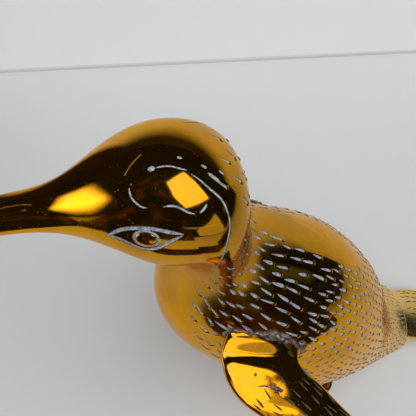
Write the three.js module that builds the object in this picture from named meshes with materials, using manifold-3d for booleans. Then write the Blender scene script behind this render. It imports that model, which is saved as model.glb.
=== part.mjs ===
// Brass penguin, hollow cast in pieces that are brazed together.
// Millimetres, +Z up. The bird faces -Y and its left side is +X.
// Heights count from the table that it stands on. At the end the group is moved
// along so that its origin is the middle of its footprint.
import * as THREE from 'three';
import { mergeVertices } from 'three/addons/utils/BufferGeometryUtils.js';
import Module from 'manifold-3d';

const wasm = await Module();
wasm.setup();

// Main sizes: height of the thighs above the table, and lengths along the bird
const STANCE_HEIGHT = 74.5;
const TORSO_LENGTH = 160;
const BEAK_LENGTH = 55;
const FLIPPER_LENGTH = 104;
const TAIL_LENGTH = 70;

// Castings and joints
const WALL = 4;
const FIT = 0.3;
const SPIGOT_LENGTH = 8;
const SPIGOT_WALL = 3;
const NECK_LAND = 6;
const TENON_REACH = 3;
const BEAD_SIZE = 3;

// Trunk sections from beak to rump. back and up place the middle of a section, up counting
// from the thighs, tilt leans its top backwards, in degrees, and egg widens its upper half.
const BEAK_ROOT = -43;
const BEAK_MIDDLE = BEAK_ROOT - 0.44 * BEAK_LENGTH;
const BEAK_TIP = BEAK_ROOT - BEAK_LENGTH;
const SHOULDER = 18;
const alongTorso = (share) => SHOULDER + share * TORSO_LENGTH;
const TRUNK = [
  { name: 'beak_tip', back: BEAK_TIP, up: 166, tilt: -12, halfWidth: 3.2, halfDepth: 2.8, egg: 0 },
  { name: 'beak', back: BEAK_MIDDLE, up: 174, tilt: -9, halfWidth: 8, halfDepth: 7.4, egg: 0 },
  { name: 'beak_root', back: BEAK_ROOT, up: 175.3, tilt: -5, halfWidth: 11.2, halfDepth: 11, egg: 0 },
  { name: 'brow', back: -20, up: 177.8, tilt: 0, halfWidth: 22.6, halfDepth: 22.6, egg: -0.04 },
  { name: 'skull', back: -5, up: 177, tilt: 11, halfWidth: 28.8, halfDepth: 28.4, egg: -0.02 },
  { name: 'hood', back: 11, up: 167, tilt: 36, halfWidth: 29.5, halfDepth: 27, egg: 0.17 },
  { name: 'neck', back: 15, up: 140, tilt: 60, halfWidth: 27.5, halfDepth: 21.5, egg: 0.14 },
  { name: 'shoulder', back: SHOULDER, up: 110.5, tilt: 60, halfWidth: 35.2, halfDepth: 38, egg: 0 },
  { name: 'breast', back: alongTorso(0.18), up: 68, tilt: 56, halfWidth: 50.2, halfDepth: 55.6, egg: 0 },
  { name: 'belly', back: alongTorso(0.344), up: 33.5, tilt: 51, halfWidth: 55.9, halfDepth: 58.4, egg: 0 },
  { name: 'thigh', back: alongTorso(0.556), up: 0, tilt: 46, halfWidth: 49.8, halfDepth: 46.6, egg: 0 },
  { name: 'rump', back: alongTorso(0.76), up: -26.5, tilt: 43, halfWidth: 39, halfDepth: 26, egg: 0 },
  { name: 'rump_cone', back: alongTorso(0.89), up: -37.5, tilt: 40, halfWidth: 32.5, halfDepth: 18, egg: 0 },
  { name: 'rump_end', back: alongTorso(1), up: -44, tilt: 36, halfWidth: 27, halfDepth: 14.5, egg: 0 },
];
const BEAK_TIP_ROUND = 3.5;
const RUMP_ROUND = 6;

// Flippers: both ends of a root on the trunk, and the way that each one hangs. The left one is
// held out, the right one lies against the body, where the photo's camera can't see it.
// beyond is the distance past a trunk section, around the angle up from the side.
const FLIPPER_ROOT_FRONT = { section: 'shoulder', beyond: 7.5, around: -3 };
const FLIPPER_ROOT_REAR = { section: 'breast', beyond: -4.5, around: 19 };
const LEFT_FLIPPER = { droop: 26, sweep: 47, twist: 12, inside: 8 };
const RIGHT_FLIPPER = { droop: 50.5, sweep: 46, twist: 0, inside: 0 };
const FLIPPER_CAMBER = 2.2;
const FLIPPER_LIFT = 2.2;
const FLIPPER_TIP_ROUND = 9;
const FLIPPER_FLATNESS = 0.5;
// The root is a rounded roll, with a shallow fold between it and the blade. The blade's
// edge points are a share of its length along it and a distance across it.
const FLIPPER_ROLL = 6.4;
const FLIPPER_BLADE = [
  { lead: [-0.158, 18.5], trail: [0.197, -5.2], thickness: 3.6 },
  { lead: [-0.119, 23], trail: [0.236, -3], thickness: 4.4 },
  { lead: [-0.058, 27.3], trail: [0.331, -2.5], thickness: 4.4 },
  { lead: [0.048, 30.4], trail: [0.46, -1.5], thickness: 4.2 },
  { lead: [0.183, 29.8], trail: [0.615, -0.5], thickness: 3.8 },
  { lead: [0.46, 24], trail: [0.81, 0.5], thickness: 3.4 },
  { lead: [0.73, 15], trail: [0.93, 3], thickness: 3 },
  { lead: [0.9, 9.5], trail: [0.99, 5], thickness: 2.6 },
];
// A flipper that is held out has a tongue on its root's edge, one that lies flat a peg on its back
const TONGUE = { length: 16, thickness: 2.4, overlap: 3.2 };
const PEG = { length: 24, width: 8, edge: 3 };

// Tail: a flat spade that leaves the end of the rump, its sections at shares of its length
const TAIL_SLOPE = 20;
const TAIL_INSIDE = 10;
const TAIL = [
  { share: 0.15, halfWidth: 22.5, halfDepth: 7.8 },
  { share: 0.46, halfWidth: 23.5, halfDepth: 5 },
  { share: 0.74, halfWidth: 21, halfDepth: 3.6 },
  { share: 1, halfWidth: 14.5, halfDepth: 2.6 },
];
const TAIL_ROOT = { halfWidth: 21, halfDepth: 9 };
const TAIL_TIP_ROUND = 9;
const TAIL_FLATNESS = 0.8;
const TAIL_TANG_LENGTH = 14;
const TAIL_TANG_WIDTH = 22;
const TAIL_TANG_DEPTH = 8;
const TAIL_TANG_OVERLAP = 6;

// Left leg and webbed foot
const LEG_TOP = { section: 'thigh', beyond: 4.5, around: -45 };
const ANKLE_BACK = 13;
const ANKLE_OUT = 5;
const ANKLE_RADIUS = 11;
const THIGH_RADIUS = 17;
const LEG_TENON_RADIUS = 7;
const FOOT_SPLAY = 6;
const HEEL_LENGTH = 18;
const HEEL_HALF_WIDTH = 12;
const WEB_THICKNESS = 3.5;
const WEB_SCALLOP = 5;
const TOE_HALF_WIDTH = 5.5;
const TOE_HEIGHT = 8;
const TOE_TIP_HEIGHT = 5;
const TOE_OVERHANG = 4;
const TOES = [
  { forward: 48, out: -16 },
  { forward: 53, out: 0 },
  { forward: 45, out: 17 },
];

// Facets
const TRUNK_SIDES = 32;
const CAVITY_SIDES = 24;
const TAIL_SIDES = 24;
const PLATE_SIDES = 16;
const LEG_SIDES = 18;
const TOE_SIDES = 14;
const RING_STEP = 8;
const CAVITY_STEP = 12;

const BRASS = { color: 0xd9a32e, roughness: 0.12, metalness: 1 };
const BRAZE = { color: 0x9a8d80, roughness: 0.55, metalness: 0.8 };

const vec = (x = 0, y = 0, z = 0) => new THREE.Vector3(x, y, z);
const radians = THREE.MathUtils.degToRad;

// Natural cubic spline through values at rising knots
function spline(knots, values) {
  const last = knots.length - 1;
  const gap = knots.slice(1).map((knot, i) => knot - knots[i]);
  const slope = gap.map((g, i) => (values[i + 1] - values[i]) / g);
  const carry = [0];
  const bend = [0];
  for (let i = 1; i < last; i++) {
    const pivot = 2 * (gap[i - 1] + gap[i]) - gap[i - 1] * carry[i - 1];
    carry.push(gap[i] / pivot);
    bend.push((6 * (slope[i] - slope[i - 1]) - gap[i - 1] * bend[i - 1]) / pivot);
  }
  bend.push(0);
  for (let i = last - 1; i > 0; i--) bend[i] -= carry[i] * bend[i + 1];
  return (x) => {
    let i = 0;
    while (i < last - 1 && x > knots[i + 1]) i++;
    const before = knots[i + 1] - x;
    const after = x - knots[i];
    const curve = (bend[i] * before ** 3 + bend[i + 1] * after ** 3) / (6 * gap[i]);
    const start = (values[i] / gap[i] - bend[i] * gap[i] / 6) * before;
    const end = (values[i + 1] / gap[i] - bend[i + 1] * gap[i] / 6) * after;
    return curve + start + end;
  };
}

// One spline for each named column of a list of rows
function splinesOf(rows, knots, columns) {
  return Object.fromEntries(columns.map((c) => [c, spline(knots, rows.map((row) => row[c]))]));
}

// Distances from the first of a list of points to each of them, from point to point
function runningLength(points) {
  const length = [0];
  points.slice(1).forEach((p, i) => length.push(length[i] + p.distanceTo(points[i])));
  return length;
}

// Factor that shrinks a section near a rounded end
function endRound(distance, round) {
  if (distance >= round) return 1;
  const left = 1 - Math.max(distance, 0) / round;
  return Math.sqrt(Math.max(1 - left * left, 0.0004));
}

// Distances for the rings of a loft, closer together over its rounded ends
function ringPlaces(from, to, step, roundFrom = 0, roundTo = 0) {
  const quarter = [0, 0.2, 0.45, 0.72].map((q) => 1 - Math.cos(q * Math.PI / 2));
  const begin = from + roundFrom;
  const end = to - roundTo;
  const count = Math.max(1, Math.round((end - begin) / step));
  const straight = Array.from({ length: count + 1 }, (_, i) => begin + (end - begin) * i / count);
  const first = roundFrom ? quarter.map((q) => from + roundFrom * q) : [];
  const last = roundTo ? quarter.map((q) => to - roundTo * q).reverse() : [];
  return [...first, ...straight, ...last];
}

// Ring of points round a middle: an ellipse, or flatter with a power below 1
function ring(middle, across, rise, halfWidth, halfDepth, sides, power = 1) {
  return Array.from({ length: sides }, (_, s) => {
    const angle = s * 2 * Math.PI / sides;
    const lift = Math.sign(Math.sin(angle)) * Math.abs(Math.sin(angle)) ** power;
    return middle.clone()
      .addScaledVector(across, halfWidth * Math.cos(angle))
      .addScaledVector(rise, halfDepth * lift);
  });
}

// Closed surface through rings of equal count, with a fan over each end
function loft(rings) {
  const sides = rings[0].length;
  const points = rings.flat();
  const index = [];
  for (let r = 0; r + 1 < rings.length; r++) {
    for (let s = 0; s < sides; s++) {
      const a = r * sides + s;
      const b = r * sides + (s + 1) % sides;
      index.push(a, b, b + sides, a, b + sides, a + sides);
    }
  }
  [0, rings.length - 1].forEach((r) => {
    const hub = points.length;
    points.push(rings[r].reduce((sum, p) => sum.add(p), vec()).divideScalar(sides));
    for (let s = 0; s < sides; s++) {
      const a = r * sides + s;
      const b = r * sides + (s + 1) % sides;
      index.push(...(r ? [a, b, hub] : [b, a, hub]));
    }
  });
  const geometry = new THREE.BufferGeometry().setFromPoints(points);
  geometry.setIndex(index);
  return geometry;
}

// Solid for joining and cutting, with its faces turned outwards
function solid(geometry) {
  const bare = geometry.clone();
  bare.deleteAttribute('normal');
  bare.deleteAttribute('uv');
  const merged = mergeVertices(bare, 1e-4);
  const place = merged.attributes.position;
  const index = Array.from(merged.index.array);
  let volume = 0;
  for (let i = 0; i < index.length; i += 3) {
    const [a, b, c] = index.slice(i, i + 3).map((n) => vec().fromBufferAttribute(place, n));
    volume += a.dot(b.cross(c));
  }
  if (volume < 0) index.reverse();
  return new wasm.Manifold(new wasm.Mesh({
    numProp: 3,
    vertProperties: new Float32Array(place.array),
    triVerts: new Uint32Array(index),
  }));
}

function geometryOf(body) {
  const { vertProperties, triVerts } = body.getMesh();
  const geometry = new THREE.BufferGeometry();
  geometry.setAttribute('position', new THREE.BufferAttribute(new Float32Array(vertProperties), 3));
  geometry.setIndex(Array.from(triVerts));
  return geometry;
}

const joined = (bodies) => bodies.reduce((sum, body) => sum.add(body));
const mirrored = (body) => solid(geometryOf(body).scale(-1, 1, 1));

// Block whose width, depth and height run along three given directions
function block(size, middle, across, along, up) {
  const turn = new THREE.Matrix4().makeBasis(across, along, up).setPosition(middle);
  return solid(new THREE.BoxGeometry(...size).applyMatrix4(turn));
}

// Block that holds everything on one side of a plane
function halfSpace(point, normal) {
  const far = 4 * trunkEnd;
  const across = Math.abs(normal.x) > 0.9 ? BACK : LEFT;
  const along = normal.clone().cross(across).normalize();
  const middle = point.clone().addScaledVector(normal, far / 2);
  return block([far, far, far], middle, along.clone().cross(normal), along, normal);
}

const LEFT = vec(1, 0, 0);
const BACK = vec(0, 1, 0);
const UP = vec(0, 0, 1);

// Trunk: its spine lies in the middle plane
const trunkKnots = runningLength(TRUNK.map((section) => vec(0, section.back, section.up)));
const trunkEnd = trunkKnots[TRUNK.length - 1];
const trunkAt = splinesOf(TRUNK, trunkKnots,
  ['back', 'up', 'tilt', 'halfWidth', 'halfDepth', 'egg']);

function spineDistance(section, beyond = 0) {
  return trunkKnots[TRUNK.findIndex((row) => row.name === section)] + beyond;
}

// Point on the skin, at an angle up from the bird's left side, moved out by grow
function trunkPoint(distance, around, grow = 0) {
  const tilt = radians(trunkAt.tilt(distance));
  const up = Math.sin(radians(around));
  const round = endRound(distance, BEAK_TIP_ROUND) * endRound(trunkEnd + grow - distance, RUMP_ROUND);
  const widest = trunkAt.halfWidth(distance) * round * (1 + trunkAt.egg(distance) * up) + grow;
  const rise = (trunkAt.halfDepth(distance) * round + grow) * up;
  return vec(widest * Math.cos(radians(around)), trunkAt.back(distance) + rise * Math.sin(tilt),
    STANCE_HEIGHT + trunkAt.up(distance) + rise * Math.cos(tilt));
}

function skinPoint({ section, beyond, around }) {
  return trunkPoint(spineDistance(section, beyond), around);
}

// Stretch of the trunk between two spine distances, grown or shrunk from the skin
function trunkStretch(from, to, grow, sides = TRUNK_SIDES, step = RING_STEP) {
  const beakRound = from === 0 ? BEAK_TIP_ROUND : 0;
  const rumpRound = to > trunkEnd - RUMP_ROUND ? RUMP_ROUND : 0;
  const places = ringPlaces(from, to, step, beakRound, rumpRound);
  return solid(loft(places.map((distance) => (
    Array.from({ length: sides }, (_, s) => trunkPoint(distance, s * 360 / sides, grow))
  ))));
}

const NECK = spineDistance('neck');
const torsoGrown = (grow) => trunkStretch(NECK + FIT / 2, trunkEnd + grow, grow);

// Head: hollow skull, solid beak, and a spigot that the torso halves close round
function headCasting() {
  const inner = -WALL - FIT;
  const skin = trunkStretch(0, NECK - FIT / 2, 0);
  const spigot = trunkStretch(NECK - NECK_LAND, NECK + SPIGOT_LENGTH, inner, CAVITY_SIDES);
  const bore = trunkStretch(NECK - NECK_LAND - WALL, NECK + SPIGOT_LENGTH + WALL, inner - SPIGOT_WALL,
    CAVITY_SIDES);
  const skull = trunkStretch(spineDistance('brow', -NECK_LAND), NECK - NECK_LAND, -WALL, CAVITY_SIDES);
  return skin.add(spigot).subtract(skull).subtract(bore);
}

// Flippers, as for the bird's left side: a cambered plate with a tenon at its root
const rootFront = skinPoint(FLIPPER_ROOT_FRONT);
const rootRear = skinPoint(FLIPPER_ROOT_REAR);
const rootMiddle = rootFront.clone().lerp(rootRear, 0.5);
const rootLine = rootRear.clone().sub(rootFront).normalize();

function flipperPose({ droop, sweep, twist, inside }) {
  const level = Math.cos(radians(droop));
  const axis = vec(Math.cos(radians(sweep)) * level, Math.sin(radians(sweep)) * level,
    -Math.sin(radians(droop)));
  const face = axis.clone().cross(rootLine).normalize();
  const across = axis.clone().cross(face).normalize().multiplyScalar(Math.cos(radians(twist)))
    .addScaledVector(face, -Math.sin(radians(twist)));
  const outward = rootLine.clone().cross(face).normalize();
  return { axis, face, across, outward, inside };
}

function flipperPlate(pose, grow) {
  const onBlade = ([share, across]) => rootMiddle.clone()
    .addScaledVector(pose.axis, share * FLIPPER_LENGTH)
    .addScaledVector(pose.across, across);
  const onRoot = (out) => ({
    front: rootFront.clone().addScaledVector(pose.outward, out),
    rear: rootRear.clone().addScaledVector(pose.outward, out),
    thickness: FLIPPER_ROLL,
  });
  const edges = FLIPPER_BLADE.map(({ lead, trail, thickness }) => ({
    front: onBlade(lead), rear: onBlade(trail), thickness,
  }));
  edges.unshift(onRoot(0));
  if (pose.inside > 0) edges.unshift(onRoot(-pose.inside));
  const rows = edges.map(({ front, rear, thickness }) => ({
    middle: front.clone().lerp(rear, 0.5).addScaledVector(pose.face, FLIPPER_LIFT),
    half: front.clone().sub(rear).divideScalar(2),
    thickness,
  }));
  const knots = runningLength(rows.map((row) => row.middle));
  const curve = (key) => splinesOf(rows.map((row) => row[key]), knots, ['x', 'y', 'z']);
  const middle = curve('middle');
  const half = curve('half');
  const thickness = spline(knots, rows.map((row) => row.thickness));
  const tip = knots[knots.length - 1] + grow;
  return solid(loft(ringPlaces(-grow, tip, RING_STEP, 0, FLIPPER_TIP_ROUND).map((d) => {
    const round = endRound(tip - d, FLIPPER_TIP_ROUND);
    const across = vec(half.x(d), half.y(d), half.z(d));
    const halfWidth = across.length() * round + grow;
    const halfDepth = thickness(d) / 2 * round + grow;
    const points = ring(vec(middle.x(d), middle.y(d), middle.z(d)), across.normalize(), pose.face,
      halfWidth, halfDepth, PLATE_SIDES, FLIPPER_FLATNESS);
    points.forEach((p, s) => {
      p.addScaledVector(pose.face, -FLIPPER_CAMBER * Math.cos(s * 2 * Math.PI / PLATE_SIDES) ** 2);
    });
    return points;
  })));
}

const heldOut = flipperPose(LEFT_FLIPPER);
const laidFlat = flipperPose(RIGHT_FLIPPER);

function tongue(grow) {
  const inside = WALL + TENON_REACH;
  const middle = rootMiddle.clone()
    .addScaledVector(heldOut.outward, (TONGUE.overlap - inside) / 2)
    .addScaledVector(heldOut.face, FLIPPER_LIFT);
  const size = [TONGUE.length, TONGUE.overlap + inside, TONGUE.thickness].map((side) => side + 2 * grow);
  return block(size, middle, rootLine, heldOut.outward, heldOut.face);
}

function peg(grow) {
  const depth = FLIPPER_LIFT + WALL + TENON_REACH;
  const middle = rootMiddle.clone()
    .addScaledVector(laidFlat.outward, PEG.edge + PEG.width / 2)
    .addScaledVector(laidFlat.face, FLIPPER_LIFT - depth / 2);
  const size = [PEG.length, PEG.width, depth].map((side) => side + 2 * grow);
  return block(size, middle, rootLine, laidFlat.outward, laidFlat.face);
}

const pegEdge = rootMiddle.clone().addScaledVector(laidFlat.outward, PEG.edge - 2 * FIT);

// Tail: its axis starts at the end of the trunk's spine
const tailAxis = vec(0, Math.cos(radians(TAIL_SLOPE)), -Math.sin(radians(TAIL_SLOPE)));
const tailRise = vec(0, Math.sin(radians(TAIL_SLOPE)), Math.cos(radians(TAIL_SLOPE)));
const tailRoot = vec(0, trunkAt.back(trunkEnd), STANCE_HEIGHT + trunkAt.up(trunkEnd));

function tailSpade(grow) {
  const knots = [-TAIL_INSIDE, ...TAIL.map((row) => row.share * TAIL_LENGTH)];
  const at = splinesOf([TAIL_ROOT, ...TAIL], knots, ['halfWidth', 'halfDepth']);
  return solid(loft(ringPlaces(-TAIL_INSIDE, TAIL_LENGTH, RING_STEP, 0, TAIL_TIP_ROUND).map((d) => {
    const round = endRound(TAIL_LENGTH - d, TAIL_TIP_ROUND);
    const middle = tailRoot.clone().addScaledVector(tailAxis, d);
    return ring(middle, LEFT, tailRise, at.halfWidth(d) * round + grow, at.halfDepth(d) * round + grow,
      TAIL_SIDES, TAIL_FLATNESS);
  })));
}

function tailTang(grow) {
  const length = TAIL_TANG_LENGTH + TAIL_TANG_OVERLAP;
  const middle = tailRoot.clone().addScaledVector(tailAxis, TAIL_TANG_OVERLAP - length / 2);
  const size = [TAIL_TANG_WIDTH, length, TAIL_TANG_DEPTH].map((side) => side + 2 * grow);
  return block(size, middle, LEFT, tailAxis, tailRise);
}

// Left leg, from the ankle on the table's plane up into the belly
const legTop = skinPoint(LEG_TOP);
const ankle = vec(legTop.x + ANKLE_OUT, legTop.y + ANKLE_BACK, 0);
const legAxis = legTop.clone().sub(ankle).normalize();
const legOut = BACK.clone().cross(legAxis).normalize();
const legRise = legAxis.clone().cross(legOut);

function leg(grow) {
  const length = legTop.distanceTo(ankle);
  const buried = 2 * THIGH_RADIUS;
  const widen = spline([0, length / 2, length], [ANKLE_RADIUS, ANKLE_RADIUS, THIGH_RADIUS]);
  return solid(loft(ringPlaces(0, length + buried, RING_STEP).map((d) => {
    const radius = widen(Math.min(d, length)) + grow;
    return ring(ankle.clone().addScaledVector(legAxis, d), legOut, legRise, radius, radius, LEG_SIDES);
  })));
}

function legTenon(grow) {
  const outside = THIGH_RADIUS;
  const inside = 2 * WALL + TENON_REACH;
  const radius = LEG_TENON_RADIUS + grow;
  const places = [-outside - grow, inside + grow];
  return solid(loft(places.map((d) => (
    ring(legTop.clone().addScaledVector(legAxis, d), legOut, legRise, radius, radius, LEG_SIDES)
  ))));
}

// Left foot: web with a scalloped front, three domed toes and the leg
const footForward = vec(Math.sin(radians(FOOT_SPLAY)), -Math.cos(radians(FOOT_SPLAY)), 0);
const footOut = vec(Math.cos(radians(FOOT_SPLAY)), Math.sin(radians(FOOT_SPLAY)), 0);

function web() {
  const outline = new THREE.Shape();
  outline.moveTo(-HEEL_HALF_WIDTH, 0);
  TOES.forEach((toe, i) => {
    if (i === 0) {
      outline.lineTo(toe.out, toe.forward);
      return;
    }
    const before = TOES[i - 1];
    const notch = (before.forward + toe.forward) / 2 - 2 * WEB_SCALLOP;
    outline.quadraticCurveTo((before.out + toe.out) / 2, notch, toe.out, toe.forward);
  });
  outline.lineTo(HEEL_HALF_WIDTH, 0);
  outline.quadraticCurveTo(HEEL_HALF_WIDTH, -HEEL_LENGTH, 0, -HEEL_LENGTH);
  outline.quadraticCurveTo(-HEEL_HALF_WIDTH, -HEEL_LENGTH, -HEEL_HALF_WIDTH, 0);
  const sheet = new THREE.ExtrudeGeometry(outline, {
    depth: 2 * WEB_THICKNESS, bevelEnabled: false, curveSegments: 6,
  });
  const turn = new THREE.Matrix4().makeBasis(footOut, footForward, UP).setPosition(ankle);
  return solid(sheet.translate(0, 0, -WEB_THICKNESS).applyMatrix4(turn));
}

function toe({ forward, out }) {
  const reach = footForward.clone().multiplyScalar(forward).addScaledVector(footOut, out);
  const length = reach.length() + TOE_OVERHANG;
  const along = reach.normalize();
  const across = UP.clone().cross(along);
  const height = spline([0, length / 2, length], [TOE_HEIGHT, TOE_HEIGHT, TOE_TIP_HEIGHT]);
  return solid(loft(ringPlaces(0, length, RING_STEP, 0, TOE_HALF_WIDTH).map((d) => {
    const round = endRound(length - d, TOE_HALF_WIDTH);
    const middle = ankle.clone().addScaledVector(along, d);
    return ring(middle, across, UP, TOE_HALF_WIDTH * round, height(d) * round, TOE_SIDES);
  })));
}

function footCasting() {
  const shapes = joined([web(), ...TOES.map(toe), leg(0)]);
  return shapes.intersect(halfSpace(vec(), UP)).subtract(torsoGrown(FIT)).add(legTenon(0));
}

// Bead of filler in the crease between the torso and a piece that meets it
function braze(piece) {
  const near = piece(BEAD_SIZE).intersect(torsoGrown(BEAD_SIZE));
  return near.subtract(piece(FIT)).subtract(torsoGrown(FIT));
}

// Torso: hollow, solid where the tail's tang sits, parted down the middle
function torsoHalf(flipperTenon) {
  const rumpSolid = TAIL_TANG_LENGTH + 2 * WALL;
  const hollow = trunkStretch(NECK - WALL, trunkEnd - rumpSolid, -WALL, CAVITY_SIDES, CAVITY_STEP);
  const holes = joined([flipperTenon(FIT), legTenon(FIT), tailTang(FIT)]);
  return torsoGrown(0).subtract(hollow).subtract(holes).intersect(halfSpace(vec(FIT / 2, 0, 0), LEFT));
}

const leftPlate = (grow) => flipperPlate(heldOut, grow);
const rightPlate = (grow) => flipperPlate(laidFlat, grow);
const leftFlipper = leftPlate(0).subtract(torsoGrown(FIT)).add(tongue(0));
const rightFlipper = rightPlate(0).subtract(torsoGrown(FIT)).add(peg(0));
const foot = footCasting();
const tail = tailSpade(0).subtract(torsoGrown(FIT)).add(tailTang(0));
const leftFlipperBraze = braze(leftPlate);
const rightFlipperBraze = braze(rightPlate).subtract(halfSpace(pegEdge, laidFlat.outward));
const legBraze = braze(leg);
const tailBraze = braze(tailSpade);

const pieces = [
  ['head_casting', headCasting(), BRASS],
  ['torso_left_half', torsoHalf(tongue), BRASS],
  ['torso_right_half', mirrored(torsoHalf(peg)), BRASS],
  ['left_flipper', leftFlipper, BRASS],
  ['right_flipper', mirrored(rightFlipper), BRASS],
  ['tail_casting', tail, BRASS],
  ['left_foot', foot, BRASS],
  ['right_foot', mirrored(foot), BRASS],
  ['left_flipper_braze', leftFlipperBraze, BRAZE],
  ['right_flipper_braze', mirrored(rightFlipperBraze), BRAZE],
  ['tail_braze', tailBraze, BRAZE],
  ['left_leg_braze', legBraze, BRAZE],
  ['right_leg_braze', mirrored(legBraze), BRAZE],
];

const penguin = new THREE.Group();
pieces.forEach(([name, body, finish]) => {
  const mesh = new THREE.Mesh(geometryOf(body), new THREE.MeshStandardMaterial(finish));
  mesh.name = name;
  penguin.add(mesh);
});
const middle = new THREE.Box3().setFromObject(penguin).getCenter(vec());
penguin.position.set(-middle.x, -middle.y, 0);

export default penguin;
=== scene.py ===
# %% [markdown]
# # A chiselled brass penguin
# The real figure is hollow cast brass. Head, two torso halves, flippers, tail and feet are cast one
# by one, brazed together, filed, chiselled all over with feather marks and polished like a mirror.
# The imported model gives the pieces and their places. This lesson makes the same skins again with far
# finer meshes, because a mirror shows every facet, and then cuts the engraving into them.

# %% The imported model
import math

import bmesh
import bpy
import numpy as np
from mathutils import Matrix, Vector
from mathutils.bvhtree import BVHTree
from mathutils.noise import noise as grain


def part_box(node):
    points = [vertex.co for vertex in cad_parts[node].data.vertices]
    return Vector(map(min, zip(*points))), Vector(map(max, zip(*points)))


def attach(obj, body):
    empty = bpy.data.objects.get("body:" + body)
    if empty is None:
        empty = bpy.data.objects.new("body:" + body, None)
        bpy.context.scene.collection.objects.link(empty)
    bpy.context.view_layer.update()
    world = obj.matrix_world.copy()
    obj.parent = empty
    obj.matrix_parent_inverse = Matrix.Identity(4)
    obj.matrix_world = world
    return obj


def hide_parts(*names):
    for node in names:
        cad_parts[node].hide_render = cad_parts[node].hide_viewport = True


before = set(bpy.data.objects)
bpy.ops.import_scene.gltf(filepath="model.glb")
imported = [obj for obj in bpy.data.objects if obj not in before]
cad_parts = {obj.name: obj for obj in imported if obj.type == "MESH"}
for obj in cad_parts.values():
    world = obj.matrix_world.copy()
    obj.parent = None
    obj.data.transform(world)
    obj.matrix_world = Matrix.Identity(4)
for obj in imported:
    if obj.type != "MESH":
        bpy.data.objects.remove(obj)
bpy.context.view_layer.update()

MM = 0.001
BEAK_TIP = -98.0
HEAD_LOW, HEAD_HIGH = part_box("head_casting")
SHIFT_X = (HEAD_LOW.x + HEAD_HIGH.x) / 2 / MM
SHIFT_Y = HEAD_LOW.y / MM - BEAK_TIP
scene = bpy.context.scene
print("shift", round(SHIFT_X, 2), round(SHIFT_Y, 2), "mm")

# %% [markdown]
# ## Camera
# The photograph looks down on the bird's left side from close by, so the head is much nearer than the
# tail. The camera stands where the outline of the loft falls on the outline in the photograph. Pixel
# places below are named in the photograph's 416 by 416 frame, and a ray through a pixel finds the spot
# on the brass that it belongs to.

# %% Camera
PHOTO = 416
FOCAL_PIXELS = 417
EYE = Vector((SHIFT_X + 100, SHIFT_Y, 385)) * MM
PITCH = math.radians(56)
YAW = math.radians(9)
LOOK = Vector((-math.cos(YAW) * math.cos(PITCH), math.sin(YAW) * math.cos(PITCH), -math.sin(PITCH)))
SIDE = Vector((math.sin(YAW), math.cos(YAW), 0))
TOP = SIDE.cross(LOOK)

lens = bpy.data.cameras.new("camera")
lens.sensor_width = 36
lens.lens = lens.sensor_width * FOCAL_PIXELS / PHOTO
lens.clip_start = 0.01
camera = bpy.data.objects.new("camera", lens)
scene.collection.objects.link(camera)
camera.matrix_world = Matrix((
    (SIDE.x, TOP.x, -LOOK.x, EYE.x),
    (SIDE.y, TOP.y, -LOOK.y, EYE.y),
    (SIDE.z, TOP.z, -LOOK.z, EYE.z),
    (0, 0, 0, 1),
))
scene.camera = camera


def ray_through(pixel):
    across = (pixel[0] - PHOTO / 2) / FOCAL_PIXELS
    up = (PHOTO / 2 - pixel[1]) / FOCAL_PIXELS
    return (LOOK + SIDE * across + TOP * up).normalized()


print("camera lens", round(lens.lens, 2), "mm at", tuple(round(c, 3) for c in EYE))

# %% [markdown]
# ## The trunk's loft
# Beak, head, neck and torso are one smooth form on a bent spine. Each section is an egg-shaped ring:
# where its middle lies, how far it leans, how wide and deep it is. Natural splines run through the
# sections, and the skin is read off them at any distance along the spine and any angle round it.

# %% Sections and splines
SECTIONS = np.array([
    # back, up, tilt, half width, half depth, egg
    (-98, 240.5, -12, 3.2, 2.8, 0),
    (-67.2, 248.5, -9, 8, 7.4, 0),
    (-43, 249.8, -5, 11.2, 11, 0),
    (-20, 252.3, 0, 22.6, 22.6, -0.04),
    (-5, 251.5, 11, 28.8, 28.4, -0.02),
    (11, 241.5, 36, 29.5, 27, 0.17),
    (15, 214.5, 60, 27.5, 21.5, 0.14),
    (18, 185, 60, 35.2, 38, 0),
    (46.8, 142.5, 56, 50.2, 55.6, 0),
    (73.04, 108, 51, 55.9, 58.4, 0),
    (106.96, 74.5, 46, 49.8, 46.6, 0),
    (139.6, 48, 43, 39, 26, 0),
    (160.4, 37, 40, 32.5, 18, 0),
    (178, 30.5, 36, 27, 14.5, 0),
])
NECK_SECTION, SHOULDER_SECTION, BREAST_SECTION, THIGH_SECTION = 6, 7, 8, 10
BEAK_ROUND, RUMP_ROUND = 3.5, 6.0
TIP_RINGS = 14


def unit(vector):
    return vector / np.linalg.norm(vector)


def units(vectors):
    return vectors / np.linalg.norm(vectors, axis=-1, keepdims=True)


def run_along(points):
    """How far along a line each of its points lies."""
    return np.concatenate([[0], np.cumsum(np.linalg.norm(np.diff(points, axis=0), axis=1))])


def full_turn(count):
    return np.arange(count) * 2 * np.pi / count


def natural_spline(knots, values):
    count = len(knots)
    gap = np.diff(knots)
    matrix = np.eye(count)
    values = np.asarray(values, float)
    right = np.zeros(values.shape)
    for i in range(1, count - 1):
        matrix[i, i - 1:i + 2] = gap[i - 1], 2 * (gap[i - 1] + gap[i]), gap[i]
        right[i] = 6 * ((values[i + 1] - values[i]) / gap[i] - (values[i] - values[i - 1]) / gap[i - 1])
    bend = np.linalg.solve(matrix, right)

    def value(x):
        x = np.asarray(x, float)
        i = np.clip(np.searchsorted(knots, x) - 1, 0, count - 2)
        before, after = knots[i + 1] - x, x - knots[i]
        curve = (bend[i] * before ** 3 + bend[i + 1] * after ** 3) / (6 * gap[i])
        start = (values[i] / gap[i] - bend[i] * gap[i] / 6) * before
        return curve + start + (values[i + 1] / gap[i] - bend[i + 1] * gap[i] / 6) * after

    return value


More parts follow.
